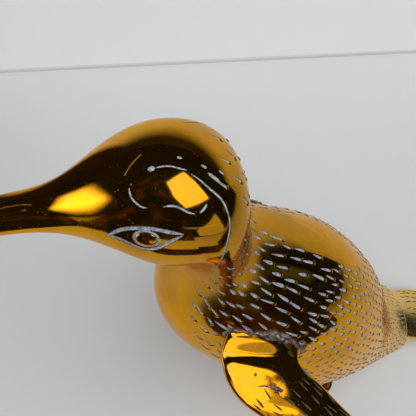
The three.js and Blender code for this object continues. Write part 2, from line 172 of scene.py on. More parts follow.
KNOTS = np.concatenate([[0], np.cumsum(np.hypot(*np.diff(SECTIONS[:, :2], axis=0).T))])
TRUNK_END = KNOTS[-1]
NECK = KNOTS[NECK_SECTION]
BACK, UP, TILT, HALF_WIDTH, HALF_DEPTH, EGG = (natural_spline(KNOTS, column) for column in SECTIONS.T)


def end_round(distance, rounding):
    """How far a section has grown, at a distance from a rounded end."""
    left = 1 - np.clip(distance, 0, rounding) / rounding
    return np.sqrt(np.maximum(1 - left * left, 0.0004))


def toward_end(end, rounding, count=TIP_RINGS):
    """Places that crowd together where the end is rounded."""
    return end - rounding * (1 - np.cos(np.linspace(np.pi / 2, 0, count)))


def trunk_point(distance, around):
    """Points of the skin in metres, at an angle up from the bird's left side."""
    distance, around = np.broadcast_arrays(np.asarray(distance, float), np.radians(around))
    rounded = end_round(distance, BEAK_ROUND) * end_round(TRUNK_END - distance, RUMP_ROUND)
    up = np.sin(around)
    width = HALF_WIDTH(distance) * rounded * (1 + EGG(distance) * up)
    rise = HALF_DEPTH(distance) * rounded * up
    tilt = np.radians(TILT(distance))
    place = np.stack([
        width * np.cos(around) + SHIFT_X,
        BACK(distance) + SHIFT_Y + rise * np.sin(tilt),
        UP(distance) + rise * np.cos(tilt),
    ], -1)
    return place * MM


print("spine", round(TRUNK_END, 1), "mm, neck at", round(NECK, 1), "mm")

# %% [markdown]
# ## Nodes written as sums
# Materials and geometry trees are both built from nodes. A small class wraps a socket, so that sums and
# products of sockets read like sums of numbers, and one function makes every other node.

# %% Node helpers


class Wire:
    """A node's output that can be used in sums and products."""

    def __init__(self, tree, socket):
        self.tree, self.socket = tree, socket

    def maths(self, operation, *values):
        return node(self.tree, "ShaderNodeMath", {"operation": operation}, dict(enumerate(values)))

    def __add__(self, other):
        return self.maths("ADD", self, other)

    def __radd__(self, other):
        return self.maths("ADD", other, self)

    def __sub__(self, other):
        return self.maths("SUBTRACT", self, other)

    def __rsub__(self, other):
        return self.maths("SUBTRACT", other, self)

    def __mul__(self, other):
        return self.maths("MULTIPLY", self, other)

    def __rmul__(self, other):
        return self.maths("MULTIPLY", other, self)

    def __truediv__(self, other):
        return self.maths("DIVIDE", self, other)

    def __mod__(self, other):
        return self.maths("FLOORED_MODULO", self, other)

    def __gt__(self, other):
        return self.maths("GREATER_THAN", self, other)

    def whole(self):
        return self.maths("ROUND", self)


def node(tree, kind, settings=None, sockets=None, out=0):
    made = tree.nodes.new(kind)
    for key, value in (settings or {}).items():
        if key == "stops":
            ramp = made.color_ramp.elements
            while len(ramp) < len(value):
                ramp.new(0.5)
            for stop, (place, colour) in zip(ramp, value):
                stop.position, stop.color = place, colour
        else:
            setattr(made, key, value)
    for key, value in (sockets or {}).items():
        found = made.inputs[key] if isinstance(key, int) else next(
            s for s in made.inputs if key in (s.identifier, s.name))
        if isinstance(value, Wire):
            tree.links.new(value.socket, found)
        else:
            found.default_value = value
    pick = made.outputs[out] if isinstance(out, int) else next(
        s for s in made.outputs if out in (s.identifier, s.name))
    return Wire(tree, pick)


print("node helpers ready")

# %% [markdown]
# ## Polished brass
# The brass was buffed until it mirrors the room. What keeps it from looking like chrome paint is hand
# work: slow waves left by the file, hazy patches where the buff stopped short, faint brown tarnish and
# pinholes of the casting. Waves go into a bump, haze into roughness and tarnish into the colour.
# The upper back is darker in mottled patches, a painted dark reflection of the room, and the low flank of the
# rump above the table is paler, a painted reflection of the table. Polish that dried in the cuts is a grey
# chalk, their walls are in painted dark shade, and the filler metal at the joints is grey and sooty.

# %% Finish helpers


def finish(name):
    material = bpy.data.materials.new(name)
    material.use_nodes = True
    tree = material.node_tree
    tree.nodes.clear()
    shader = tree.nodes.new("ShaderNodeBsdfPrincipled")
    output = tree.nodes.new("ShaderNodeOutputMaterial")
    tree.links.new(shader.outputs["BSDF"], output.inputs["Surface"])
    return material, tree, shader


def set_shader(tree, shader, sockets):
    for key, value in sockets.items():
        if isinstance(value, Wire):
            tree.links.new(value.socket, shader.inputs[key])
        else:
            shader.inputs[key].default_value = value


def noise(place, scale, detail=3.0, roughness=0.55):
    return node(place.tree, "ShaderNodeTexNoise", {}, {
        "Vector": place, "Scale": scale, "Detail": detail, "Roughness": roughness}, "Fac")


def ramp(value, *stops):
    greys = [(place, (grey, grey, grey, 1)) for place, grey in stops]
    return node(value.tree, "ShaderNodeValToRGB", {"stops": greys}, {"Fac": value})


def blend(share, first, second):
    return node(share.tree, "ShaderNodeMix", {"data_type": "RGBA"}, {
        "Factor_Float": share, "A_Color": first, "B_Color": second}, "Result_Color")


def place_of(tree):
    return node(tree, "ShaderNodeTexCoord", out="Object")


def axis_of(value, axis):
    return node(value.tree, "ShaderNodeSeparateXYZ", {}, {0: value}, axis)


def between(value, low, high):
    return node(value.tree, "ShaderNodeMapRange", {"interpolation_type": "SMOOTHSTEP"}, {
        "Value": value, "From Min": low, "From Max": high})


print("finish helpers ready")

# %% Brass, chalk and braze finishes
GOLD, BROWN, STAINED = (0.82, 0.37, 0.008, 1), (0.52, 0.19, 0.012, 1), (0.66, 0.4, 0.12, 1)
BACK_DARK_REFLECTION, TABLE_REFLECTION_TINT, EDGE_TINT = (0.34, 0.17, 0.02, 1), (0.97, 0.68, 0.27, 1), (1.0, 0.86, 0.62, 1)
NECK_MIDDLE, NECK_HAZE = (SHIFT_X * MM, (15 + SHIFT_Y) * MM, 214 * MM), (0.03, 0.05)
# stretches along the bird and upwards, in metres
BACK_DARK_ALONG, BACK_DARK_UP = (-0.11, -0.04), (0.15, 0.21)
RUMP_ALONG, TABLE_REFLECTION_UP = (0.0, 0.09), (0.1, 0.17)
CHALK_DARK, CHALK_PALE = (0.13, 0.14, 0.16, 1), (0.56, 0.61, 0.68, 1)
# painted dark shade on the walls of the cuts
CUT_SHADE_DARK, CUT_SHADE_PALE = (0.03, 0.026, 0.022, 1), (0.13, 0.12, 0.1, 1)
FILLER_DARK, FILLER_PALE = (0.1, 0.07, 0.07, 1), (0.5, 0.43, 0.42, 1)


def polished_brass():
    material, tree, shader = finish("polished_brass")
    place = place_of(tree)
    patches = ramp(noise(place, 38.0), (0.42, 0), (0.7, 1))
    tarnish = ramp(noise(place, 60.0, 6.0, 0.68), (0.46, 0), (0.74, 1))
    stain = ramp(noise(place, 22.0, 4.0, 0.6), (0.5, 0), (0.72, 1))
    colour = blend(tarnish * 0.6, GOLD, BROWN)
    colour = blend(stain * 0.45, colour, STAINED)
    along, up = axis_of(place, "Y"), axis_of(place, "Z")
    # painted dark reflection of the room on the upper back, in mottled patches
    painted_back_dark = between(along, *BACK_DARK_ALONG) * between(up, *BACK_DARK_UP)
    colour = blend(painted_back_dark * noise(place, 30.0, 5.0, 0.6) * 1.1, colour, BACK_DARK_REFLECTION)
    away = node(tree, "ShaderNodeVectorMath", {"operation": "DISTANCE"}, {0: place, 1: NECK_MIDDLE}, "Value")
    neck = 1 - between(away, *NECK_HAZE)
    rump = between(along, *RUMP_ALONG)
    # painted reflection of the pale table on the low flank of the rump
    painted_table_reflection = rump * (1 - between(up, *TABLE_REFLECTION_UP))
    colour = blend(painted_table_reflection * 0.75, colour, TABLE_REFLECTION_TINT)
    haze = noise(place, 700.0, 4.0, 0.7)
    rough = 0.035 + patches * 0.05 + haze * 0.03 + neck * 0.14 + rump * 0.16
    waves = noise(place, 42.0, 1.0)
    ripple = noise(place, 230.0, 2.0)
    pinholes = ramp(noise(place, 1500.0, 1.0), (0.2, 0), (0.26, 1))
    height = waves * 0.00035 + ripple * 0.000012 + pinholes * 0.00004
    bump = node(tree, "ShaderNodeBump", {}, {"Strength": 1.0, "Distance": 1.0, "Height": height})
    set_shader(tree, shader, {
        "Base Color": colour, "Roughness": rough, "Metallic": 1.0, "Normal": bump,
        "Specular Tint": EDGE_TINT})
    return material


def polish_chalk():
    material, tree, shader = finish("polish_chalk")
    place = place_of(tree)
    grime_and_shade_mottle = ramp(noise(place, 900.0, 4.0, 0.7), (0.35, 0), (0.62, 1))
    colour = blend(grime_and_shade_mottle, CHALK_DARK, CHALK_PALE)
    bump = node(tree, "ShaderNodeBump", {}, {
        "Strength": 0.6, "Distance": 0.0002, "Height": noise(place, 2500.0)})
    set_shader(tree, shader, {"Base Color": colour, "Roughness": 0.85, "Normal": bump})
    return material


def painted_cut_shade():
    """The wall of a cut in painted dark shade, between chalk and polished skin."""
    material, tree, shader = finish("painted_cut_shade")
    place = place_of(tree)
    grime_and_shade_mottle = noise(place, 600.0, 3.0)
    set_shader(tree, shader, {
        "Base Color": blend(grime_and_shade_mottle, CUT_SHADE_DARK, CUT_SHADE_PALE),
        "Roughness": 0.4 + grime_and_shade_mottle * 0.2, "Metallic": 0.4})
    return material


def braze_filler():
    material, tree, shader = finish("braze_filler")
    place = place_of(tree)
    soot = ramp(noise(place, 420.0, 4.0, 0.6), (0.38, 0), (0.64, 1))
    colour = blend(soot, FILLER_DARK, FILLER_PALE)
    rough = 0.24 + soot * 0.3
    bump = node(tree, "ShaderNodeBump", {}, {
        "Strength": 0.8, "Distance": 0.0005, "Height": noise(place, 700.0, 3.0)})
    set_shader(tree, shader, {"Base Color": colour, "Roughness": rough, "Metallic": 0.85, "Normal": bump})
    return material


brass = polished_brass()
chalk = polish_chalk()
cut_wall_shade = painted_cut_shade()
filler = braze_filler()
print("finishes", brass.name, chalk.name, cut_wall_shade.name, filler.name)

# %% [markdown]
# ## Mesh helpers
# A loft is a list of rings, closed with a fan at each end. Cutting and joining run through the Boolean
# modifier with its manifold solver, which wants closed meshes and is quick even with a thousand cutters.
# Every mesh lists the same finishes, and a cutter's faces carry their numbers, so the floor of each cut
# keeps the chalky polish that sits in it and its walls keep a painted dark shade.

# %% Meshes, joins and cuts
BRASS, CHALK, CUT_WALL_SHADE, FLAW = range(4)


def dress(mesh, number):
    """All finishes in their order, so that a cut keeps the numbers of the tool's faces."""
    mesh.materials.clear()
    for material in (brass, chalk, cut_wall_shade, filler):
        mesh.materials.append(material)
    mesh.polygons.foreach_set("material_index", [number] * len(mesh.polygons))
    mesh.polygons.foreach_set("use_smooth", [True] * len(mesh.polygons))


def body(name, points, faces, number=BRASS):
    mesh = bpy.data.meshes.new(name)
    mesh.from_pydata([tuple(p) for p in points], [], [tuple(f) for f in faces])
    dress(mesh, number)
    mesh.validate()
    made = bpy.data.objects.new(name, mesh)
    scene.collection.objects.link(made)
    return made


def one_finish(piece, material):
    piece.data.materials.clear()
    piece.data.materials.append(material)
    piece.data.polygons.foreach_set("material_index", [0] * len(piece.data.polygons))


def box(name, low, high):
    (x0, y0, z0), (x1, y1, z1) = low, high
    corners = [(x, y, z) for z in (z0, z1) for x, y in ((x0, y0), (x1, y0), (x1, y1), (x0, y1))]
    return body(name, corners, [
        (0, 3, 2, 1), (4, 5, 6, 7), (0, 1, 5, 4), (1, 2, 6, 5), (2, 3, 7, 6), (3, 0, 4, 7)])


def volume(points, faces):
    points = np.asarray(points)
    fans = [(f[0], f[i], f[i + 1]) for f in faces for i in range(1, len(f) - 1)]
    a, b, c = (points[[fan[k] for fan in fans]] for k in range(3))
    return float(np.einsum("ij,ij->i", a, np.cross(b, c)).sum())


def loft_parts(rings, closed_path=False):
    """Points and faces of a closed loft, turned outwards."""
    rings = np.asarray(rings, float)
    count, sides = rings.shape[:2]
    points = list(rings.reshape(-1, 3))
    faces = []
    for r in range(count if closed_path else count - 1):
        for s in range(sides):
            a, b = r * sides + s, r * sides + (s + 1) % sides
            after = sides * (1 - count) if r == count - 1 else sides
            faces.append((a, b, b + after, a + after))
    if not closed_path:
        for r in (0, count - 1):
            hub = len(points)
            points.append(rings[r].mean(0))
            for s in range(sides):
                a, b = r * sides + s, r * sides + (s + 1) % sides
                faces.append((a, b, hub) if r else (b, a, hub))
    if volume(points, faces) < 0:
        faces = [tuple(reversed(f)) for f in faces]
    return points, faces


def loft(name, rings, number=BRASS, closed_path=False):
    return body(name, *loft_parts(rings, closed_path), number)


def settled(piece):
    """The piece's mesh with its modifiers carried out."""
    graph = bpy.context.evaluated_depsgraph_get()
    made = bpy.data.meshes.new_from_object(piece.evaluated_get(graph))
    piece.modifiers.clear()
    piece.data = made
    return piece


def carve(piece, tool, operation="DIFFERENCE", keep=False):
    step = piece.modifiers.new("carve", "BOOLEAN")
    step.operation = operation
    step.solver = "MANIFOLD"
    step.object = tool
    settled(piece)
    if not keep:
        bpy.data.objects.remove(tool)
    return piece


def copy_of(piece, name):
    made = bpy.data.objects.new(name, piece.data.copy())
    scene.collection.objects.link(made)
    return made


def mirrored(piece, name):
    made = copy_of(piece, name)
    made.data.transform(Matrix.Translation((2 * SHIFT_X * MM, 0, 0)) @ Matrix.Scale(-1, 4, (1, 0, 0)))
    made.data.flip_normals()
    return made


def joined(name, pieces):
    """Several loose bodies in one object."""
    points, faces, numbers = [], [], []
    for piece in pieces:
        start = len(points)
        points += [v.co[:] for v in piece.data.vertices]
        faces += [tuple(start + i for i in p.vertices) for p in piece.data.polygons]
        numbers += [p.material_index for p in piece.data.polygons]
        bpy.data.objects.remove(piece)
    made = body(name, points, faces)
    made.data.polygons.foreach_set("material_index", numbers)
    return made


def keep_main_body(piece):
    """Drops every loose bit and keeps the largest. Returns how many bits went."""
    mesh = bmesh.new()
    mesh.from_mesh(piece.data)
    waiting, islands = set(mesh.verts), []
    while waiting:
        island, shore = [], [waiting.pop()]
        while shore:
            vert = shore.pop()
            island.append(vert)
            for edge in vert.link_edges:
                other = edge.other_vert(vert)
                if other in waiting:
                    waiting.remove(other)
                    shore.append(other)
        islands.append(island)
    islands.sort(key=len)
    bmesh.ops.delete(mesh, geom=[vert for island in islands[:-1] for vert in island], context="VERTS")
    mesh.to_mesh(piece.data)
    mesh.free()
    return len(islands) - 1


print("mesh helpers ready, finishes numbered", BRASS, CHALK, CUT_WALL_SHADE, FLAW)

# %% [markdown]
# ## Normals of the uncut skin
# A mirror shows the smallest dent in shading, and a Boolean cut leaves long thin faces around each mark.
# So a copy of every uncut skin is kept, and its true normals are laid back on what is left of it.

# %% Skins and polishing
SHARP = math.radians(28)
ON_SKIN = 0.00003
SKIN_COSINE = math.cos(math.radians(12))


class Skin:
    """A smooth uncut mesh that knows its nearest point and its true normal there."""

    def __init__(self, points, triangles, normals):
        self.points, self.triangles, self.normals = points, triangles, normals
        self.tree = BVHTree.FromPolygons(points.tolist(), triangles.tolist(), all_triangles=True)

    @classmethod
    def of(cls, piece):
        mesh = piece.data
        mesh.calc_loop_triangles()
        return cls(np.array([v.co[:] for v in mesh.vertices]),
                   np.array([t.vertices[:] for t in mesh.loop_triangles]),
                   np.array([n.vector[:] for n in mesh.vertex_normals]))

    def other_side(self):
        points = self.points * (-1, 1, 1) + (2 * SHIFT_X * MM, 0, 0)
        return Skin(points, self.triangles[:, ::-1], self.normals * (-1, 1, 1))

    def normal_at(self, place, index):
        corners = self.points[self.triangles[index]]
        a, b, c = corners[:, 0], corners[:, 1], corners[:, 2]
        whole = np.linalg.norm(np.cross(b - a, c - a), axis=1) + 1e-20
        share_b = np.linalg.norm(np.cross(place - a, c - a), axis=1) / whole
        share_c = np.linalg.norm(np.cross(b - a, place - a), axis=1) / whole
        share = np.stack([1 - share_b - share_c, share_b, share_c], 1)[..., None]
        normal = (self.normals[self.triangles[index]] * share).sum(1)
        return units(normal)

    def nearest(self, places):
        found = [self.tree.find_nearest(p) for p in places]
        place = np.array([f[0][:] for f in found])
        index = np.array([f[2] for f in found])
        return place, self.normal_at(place, index), np.array([f[3] for f in found])

    def hit(self, pixel):
        place, _, index, _ = self.tree.ray_cast(EYE, ray_through(pixel))
        return np.array(place), self.normal_at(np.array([place]), np.array([index]))[0]


def polish(piece, skin):
    """Gives the untouched skin of a cut piece the normals of the uncut one, so reflections run on."""
    mesh = piece.data
    mesh.set_sharp_from_angle(angle=SHARP)
    normals = np.empty(len(mesh.loops) * 3, np.float32)
    mesh.corner_normals.foreach_get("vector", normals)
    normals = normals.reshape(-1, 3)
    middles = np.array([p.center[:] for p in mesh.polygons])
    _, true_middle, far = skin.nearest(middles)
    flat = np.array([p.normal[:] for p in mesh.polygons])
    is_skin = (far < ON_SKIN) & ((flat * true_middle).sum(1) > SKIN_COSINE)
    sizes = np.array([p.loop_total for p in mesh.polygons])
    corner_skin = np.repeat(is_skin, sizes)
    owner = np.array([loop.vertex_index for loop in mesh.loops])
    _, true_point, _ = skin.nearest(np.array([v.co[:] for v in mesh.vertices]))
    normals[corner_skin] = true_point[owner[corner_skin]]
    mesh.normals_split_custom_set(normals.tolist())
    return piece


print("skins count as uncut within", round(ON_SKIN / MM, 3), "mm")

# %% [markdown]
# ## Smooth skins
# Before anything is cut, head and torso are plain lofts with rings a millimetre apart. The two are
# filed flush at the neck, and the torso's halves are parted only at the end, so cuts may run across.

# %% Head and torso before cutting
HEAD_RINGS, HEAD_SIDES = 150, 200
TORSO_RINGS, TORSO_SIDES = 205, 288
JOINT_GAP = 0.03
BEAK_TIP_RINGS = 12


def trunk_rings(start, end, count, sides):
    """Rings of the trunk, crowded together where an end is rounded."""
    places = np.linspace(start, end, count)
    if start == 0:
        places = np.concatenate([BEAK_ROUND * (1 - np.cos(np.linspace(0, np.pi / 2, BEAK_TIP_RINGS)))[:-1],
                                 places[places > BEAK_ROUND]])
    if end == TRUNK_END:
        places = np.concatenate([places[places < end - RUMP_ROUND],
                                 toward_end(end, RUMP_ROUND)])
    around = np.arange(sides) * 360 / sides
    return trunk_point(places[:, None], around[None])


head = loft("head", trunk_rings(0, NECK - JOINT_GAP, HEAD_RINGS, HEAD_SIDES))
torso = loft("torso", trunk_rings(NECK + JOINT_GAP, TRUNK_END, TORSO_RINGS, TORSO_SIDES))
head_skin = Skin.of(head)
torso_skin = Skin.of(torso)
torso_plain = copy_of(torso, "torso_plain")
print("head", len(head.data.polygons), "faces, torso", len(torso.data.polygons), "faces")

# %% [markdown]
# ## Flippers, tail and feet
# A flipper is a flat casting: a rounded roll along its root, a shallow fold, then a long blade. Its
# edges are drawn as points and splined. The left one is held out, so that its face mirrors the window.
# The right one must lie against the body, because the photograph doesn't show it. The tail is a flat
# spade that leaves the rump. Each foot is a stout leg, three toes and a web, melted together with a
# voxel remesh as casting wax would be.

# %% Flippers
ROOT_FRONT = trunk_point(KNOTS[SHOULDER_SECTION] + 7.5, -3) / MM
ROOT_REAR = trunk_point(KNOTS[BREAST_SECTION] - 4.5, 19) / MM
ROOT_MIDDLE = (ROOT_FRONT + ROOT_REAR) / 2
FLIPPER_LENGTH, FLIPPER_LIFT, FLIPPER_CAMBER, FLIPPER_TIP = 104, 2.2, 2.2, 9
ROLL_THICKNESS = 6.4
BLADE = [
    # share of the length and distance across, for leading and trailing edge, and thickness
    ((-0.158, 18.5), (0.197, -5.2), 3.6),
    ((-0.119, 23), (0.236, -3), 4.4),
    ((-0.058, 27.3), (0.331, -2.5), 4.4),
    ((0.048, 30.4), (0.46, -1.5), 4.2),
    ((0.183, 29.8), (0.615, -0.5), 3.8),
    ((0.46, 24), (0.81, 0.5), 3.4),
    ((0.73, 15), (0.93, 3), 3),
    ((0.9, 9.5), (0.99, 5), 2.6),
]
PLATE_SIDES, PLATE_RINGS = 112, 120
FOLD_AT, FOLD_HALF, FOLD_DEPTH = 7.6, 2.2, 0.55
FOLD_ANGLES, FOLD_SHARES = (8, 25, 80, 115), (0, 1, 1, 0)
LEAD_POWER, TRAIL_POWER, LEAD_CAMBER = 0.38, 0.5, 0.6


class Flipper:
    """The blade in one pose, as on the bird's left side: its skin by distance from the root and angle."""

    def __init__(self, droop, sweep, twist, inside):
        droop, sweep, twist = (math.radians(angle) for angle in (droop, sweep, twist))
        root_line = unit(ROOT_REAR - ROOT_FRONT)
        axis = np.array([math.cos(sweep) * math.cos(droop), math.sin(sweep) * math.cos(droop),
                         -math.sin(droop)])
        self.face = unit(np.cross(axis, root_line))
        across = unit(np.cross(axis, self.face)) * math.cos(twist) - self.face * math.sin(twist)
        out = unit(np.cross(root_line, self.face))
        edges = [(ROOT_FRONT + out * step, ROOT_REAR + out * step, ROLL_THICKNESS)
                 for step in ((-inside, 0) if inside else (0,))]
        edges += [(ROOT_MIDDLE + axis * l[0] * FLIPPER_LENGTH + across * l[1],
                   ROOT_MIDDLE + axis * t[0] * FLIPPER_LENGTH + across * t[1], thick)
                  for l, t, thick in BLADE]
        middles = np.array([(f + r) / 2 for f, r, _ in edges]) + self.face * FLIPPER_LIFT
        knots = run_along(middles)
        self.inside, self.end, self.fold = inside, knots[-1], inside + FOLD_AT
        self.middle = natural_spline(knots, middles)
        self.half = natural_spline(knots, np.array([(f - r) / 2 for f, r, _ in edges]))
        self.thickness = natural_spline(knots, np.array([t for _, _, t in edges]))

    def point(self, distance, angle):
        """Metres. Angle 0 is the leading edge and 90 the outer face."""
        rounded = end_round(self.end - distance, FLIPPER_TIP)
        lead = math.cos(angle) > 0
        lift = math.copysign(abs(math.sin(angle)) ** (LEAD_POWER if lead else TRAIL_POWER), math.sin(angle))
        lift *= self.thickness(distance) / 2 * rounded
        lift -= FLIPPER_CAMBER * math.cos(angle) ** 2 * (LEAD_CAMBER if lead else 1)
        if 0 < angle < math.pi:
            crease = math.exp(-((distance - self.fold) / FOLD_HALF) ** 2)
            lift -= FOLD_DEPTH * crease * float(np.interp(math.degrees(angle), FOLD_ANGLES, FOLD_SHARES))
        along = self.half(distance) * rounded * math.cos(angle)
        return (self.middle(distance) + along + self.face * lift) * MM

    def plate(self, name):
        places = np.concatenate([
            np.linspace(0, self.end - FLIPPER_TIP, PLATE_RINGS)[:-1],
            toward_end(self.end, FLIPPER_TIP),
        ])
        return loft(name, [[self.point(d, a) for a in full_turn(PLATE_SIDES)] for d in places])


held_out = Flipper(droop=26, sweep=47, twist=12, inside=8)
laid_flat = Flipper(droop=50.5, sweep=46, twist=0, inside=0)
left_flipper = held_out.plate("left_flipper_plate")
flat_flipper = laid_flat.plate("flat_flipper_plate")
left_flipper_skin, flat_flipper_skin = Skin.of(left_flipper), Skin.of(flat_flipper)
print("flippers", len(left_flipper.data.polygons), len(flat_flipper.data.polygons), "faces")

# %% Tail
TAIL_SLOPE = math.radians(20)
TAIL_ROWS = np.array([(-10, 21, 9), (10.5, 22.5, 7.8), (32.2, 23.5, 5), (51.8, 21, 3.6), (70, 14.5, 2.6)])
TAIL_ROUND, TAIL_POWER, TAIL_SIDES, TAIL_RINGS = 9, 0.8, 128, 60
TAIL_START, TAIL_END = TAIL_ROWS[0, 0], TAIL_ROWS[-1, 0]
tail_width = natural_spline(TAIL_ROWS[:, 0], TAIL_ROWS[:, 1])
tail_depth = natural_spline(TAIL_ROWS[:, 0], TAIL_ROWS[:, 2])
TAIL_ROOT = np.array([SHIFT_X, BACK(TRUNK_END) + SHIFT_Y, UP(TRUNK_END)])
TAIL_AXIS = np.array([0, math.cos(TAIL_SLOPE), -math.sin(TAIL_SLOPE)])
TAIL_RISE = np.array([0, math.sin(TAIL_SLOPE), math.cos(TAIL_SLOPE)])


def tail_point(distance, angle):
    rounded = end_round(TAIL_END - distance, TAIL_ROUND)
    lift = math.copysign(abs(math.sin(angle)) ** TAIL_POWER, math.sin(angle)) * tail_depth(distance) * rounded
    across = np.array([math.cos(angle) * tail_width(distance) * rounded, 0, 0])
    return (TAIL_ROOT + TAIL_AXIS * distance + across + TAIL_RISE * lift) * MM


tail_places = np.concatenate([
    np.linspace(TAIL_START, TAIL_END - TAIL_ROUND, TAIL_RINGS)[:-1], toward_end(TAIL_END, TAIL_ROUND)])
tail = loft("tail_spade", [[tail_point(d, a) for a in full_turn(TAIL_SIDES)] for d in tail_places])
tail_skin = Skin.of(tail)
print("tail", len(tail.data.polygons), "faces")

# %% Left foot
LEG_TOP = trunk_point(KNOTS[THIGH_SECTION] + 4.5, -45) / MM
ANKLE = np.array([LEG_TOP[0] + 5, LEG_TOP[1] + 13, 0])
ANKLE_RADIUS, THIGH_RADIUS = 11, 17
FOOT_SPLAY = math.radians(6)
HEEL_LENGTH, HEEL_HALF, WEB_THICKNESS, WEB_SCALLOP = 18, 12, 3.5, 5
TOES = ((48, -16), (53, 0), (45, 17))
TOE_HALF, TOE_HEIGHT, TOE_TIP, TOE_OVERHANG = 5.5, 8, 5, 4
LEG_RINGS, LEG_SIDES, TOE_RINGS, TOE_TIP_RINGS = 40, 40, 20, 8
FOOT_VOXEL, FOOT_SMOOTHING = 0.9 * MM, 8
foot_forward = np.array([math.sin(FOOT_SPLAY), -math.cos(FOOT_SPLAY), 0])
foot_out = np.array([math.cos(FOOT_SPLAY), math.sin(FOOT_SPLAY), 0])
UPRIGHT = np.array([0, 0, 1.0])


def hoop(middle, across, rise, half_width, half_rise):
    turn = full_turn(LEG_SIDES)[:, None]
    return (middle + across * np.cos(turn) * half_width + rise * np.sin(turn) * half_rise) * MM


LEG_LENGTH = np.linalg.norm(LEG_TOP - ANKLE)
leg_axis = unit(LEG_TOP - ANKLE)
leg_out = unit(np.cross([0, 1, 0], leg_axis))
leg_rise = np.cross(leg_axis, leg_out)
leg_radius = natural_spline(np.array([0, LEG_LENGTH / 2, LEG_LENGTH]),
                            np.array([ANKLE_RADIUS, ANKLE_RADIUS, THIGH_RADIUS]))


def leg_point(distance, angle):
    radius = float(leg_radius(min(distance, LEG_LENGTH)))
    arm = leg_out * math.cos(angle) + leg_rise * math.sin(angle)
    return (ANKLE + leg_axis * distance + arm * radius) * MM


def leg_body():
    places = np.linspace(0, LEG_LENGTH + 2 * THIGH_RADIUS, LEG_RINGS)
    return loft("leg", [[leg_point(d, a) for a in full_turn(LEG_SIDES)] for d in places])


def toe_body(forward, out):
    reach = foot_forward * forward + foot_out * out
    length = np.linalg.norm(reach) + TOE_OVERHANG
    along = unit(reach)
    across = np.cross(UPRIGHT, along)
    height = natural_spline(np.array([0, length / 2, length]), np.array([TOE_HEIGHT, TOE_HEIGHT, TOE_TIP]))
    places = np.concatenate([np.linspace(0, length - TOE_HALF, TOE_RINGS)[:-1],
                             toward_end(length, TOE_HALF, TOE_TIP_RINGS)])
    rounded = end_round(length - places, TOE_HALF)
    return loft("toe", [hoop(ANKLE + along * d, across, UPRIGHT, TOE_HALF * r, float(height(d)) * r)
                        for d, r in zip(places, rounded)])


def web_body():
    outline = [(-HEEL_HALF, 0), (TOES[0][1], TOES[0][0])]
    for (f0, o0), (f1, o1) in zip(TOES, TOES[1:]):
        notch = ((o0 + o1) / 2, (f0 + f1) / 2 - 2 * WEB_SCALLOP)
        for t in np.linspace(0, 1, 9)[1:]:
            outline.append(tuple((1 - t) ** 2 * np.array((o0, f0)) + 2 * t * (1 - t) * np.array(notch)
                                 + t * t * np.array((o1, f1))))
    for t in np.linspace(0, np.pi, 15):
        outline.append((HEEL_HALF * math.cos(t), -HEEL_LENGTH * math.sin(t)))
    flat = [ANKLE + foot_out * o + foot_forward * f for o, f in outline[:-1]]
    count = len(flat)
    points = [(p + UPRIGHT * z) * MM for z in (-WEB_THICKNESS, WEB_THICKNESS) for p in flat]
    faces = [(i, (i + 1) % count, count + (i + 1) % count, count + i) for i in range(count)]
    faces += [tuple(range(count))[::-1], tuple(range(count, 2 * count))]
    if volume(points, faces) < 0:
        faces = [tuple(reversed(f)) for f in faces]
    return body("web", points, faces)


left_foot = leg_body()
for part in [web_body(), *[toe_body(*toe) for toe in TOES]]:
    carve(left_foot, part, "UNION")
melt = left_foot.modifiers.new("melt", "REMESH")
melt.mode = "VOXEL"
melt.voxel_size = FOOT_VOXEL
soften = left_foot.modifiers.new("soften", "SMOOTH")
soften.iterations = FOOT_SMOOTHING
settled(left_foot)
carve(left_foot, box("ground", (-0.3, -0.3, -0.1), (0.3, 0.3, 0)))
left_foot.data.polygons.foreach_set("use_smooth", [True] * len(left_foot.data.polygons))
left_foot.name = "left_foot_casting"
print("foot", len(left_foot.data.polygons), "faces")

# %% [markdown]
# ## Feather marks
# Every feather is one blow of a small round chisel, laid in staggered rows that follow the body: thin
# at the head end, round at the tail end, with a burr of metal pushed up there. A Geometry Nodes tree
# lays a grid on the surface's own map, nudges each place a little, and puts a tear-shaped cutter there.
# The same tree with other numbers makes the burrs, on the same places.

# %% The chisel's tree
SIZES = {
    "Rows": ("NodeSocketInt", 6), "Columns": ("NodeSocketInt", 40), "Seed": ("NodeSocketInt", 1),
    "Length": ("NodeSocketFloat", 6.0), "Width": ("NodeSocketFloat", 1.2), "Depth": ("NodeSocketFloat", 0.6),
    "Middle": ("NodeSocketFloat", 0.0), "Reach": ("NodeSocketFloat", 1.0), "Spread": ("NodeSocketFloat", 1.0),
    "Rise": ("NodeSocketFloat", 1.0), "Taper": ("NodeSocketFloat", 0.6), "Finish": ("NodeSocketMaterial", None),
}
CUTTER = {"Segments": 14, "Rings": 5, "Radius": 1.0}
# cutter faces below this depth hold chalk, the rest are walls in painted dark shade
CHALK_BELOW = -0.45
# how far a mark strays: along and across its cell, in its turn, and in length and width
STRAY_ALONG, STRAY_ACROSS, STRAY_TURN = (-0.16, 0.16), (-0.2, 0.2), (-0.16, 0.16)
LENGTHS, WIDTHS, THINNING = (0.72, 1.22), (0.8, 1.2), (0.05, 0.95)


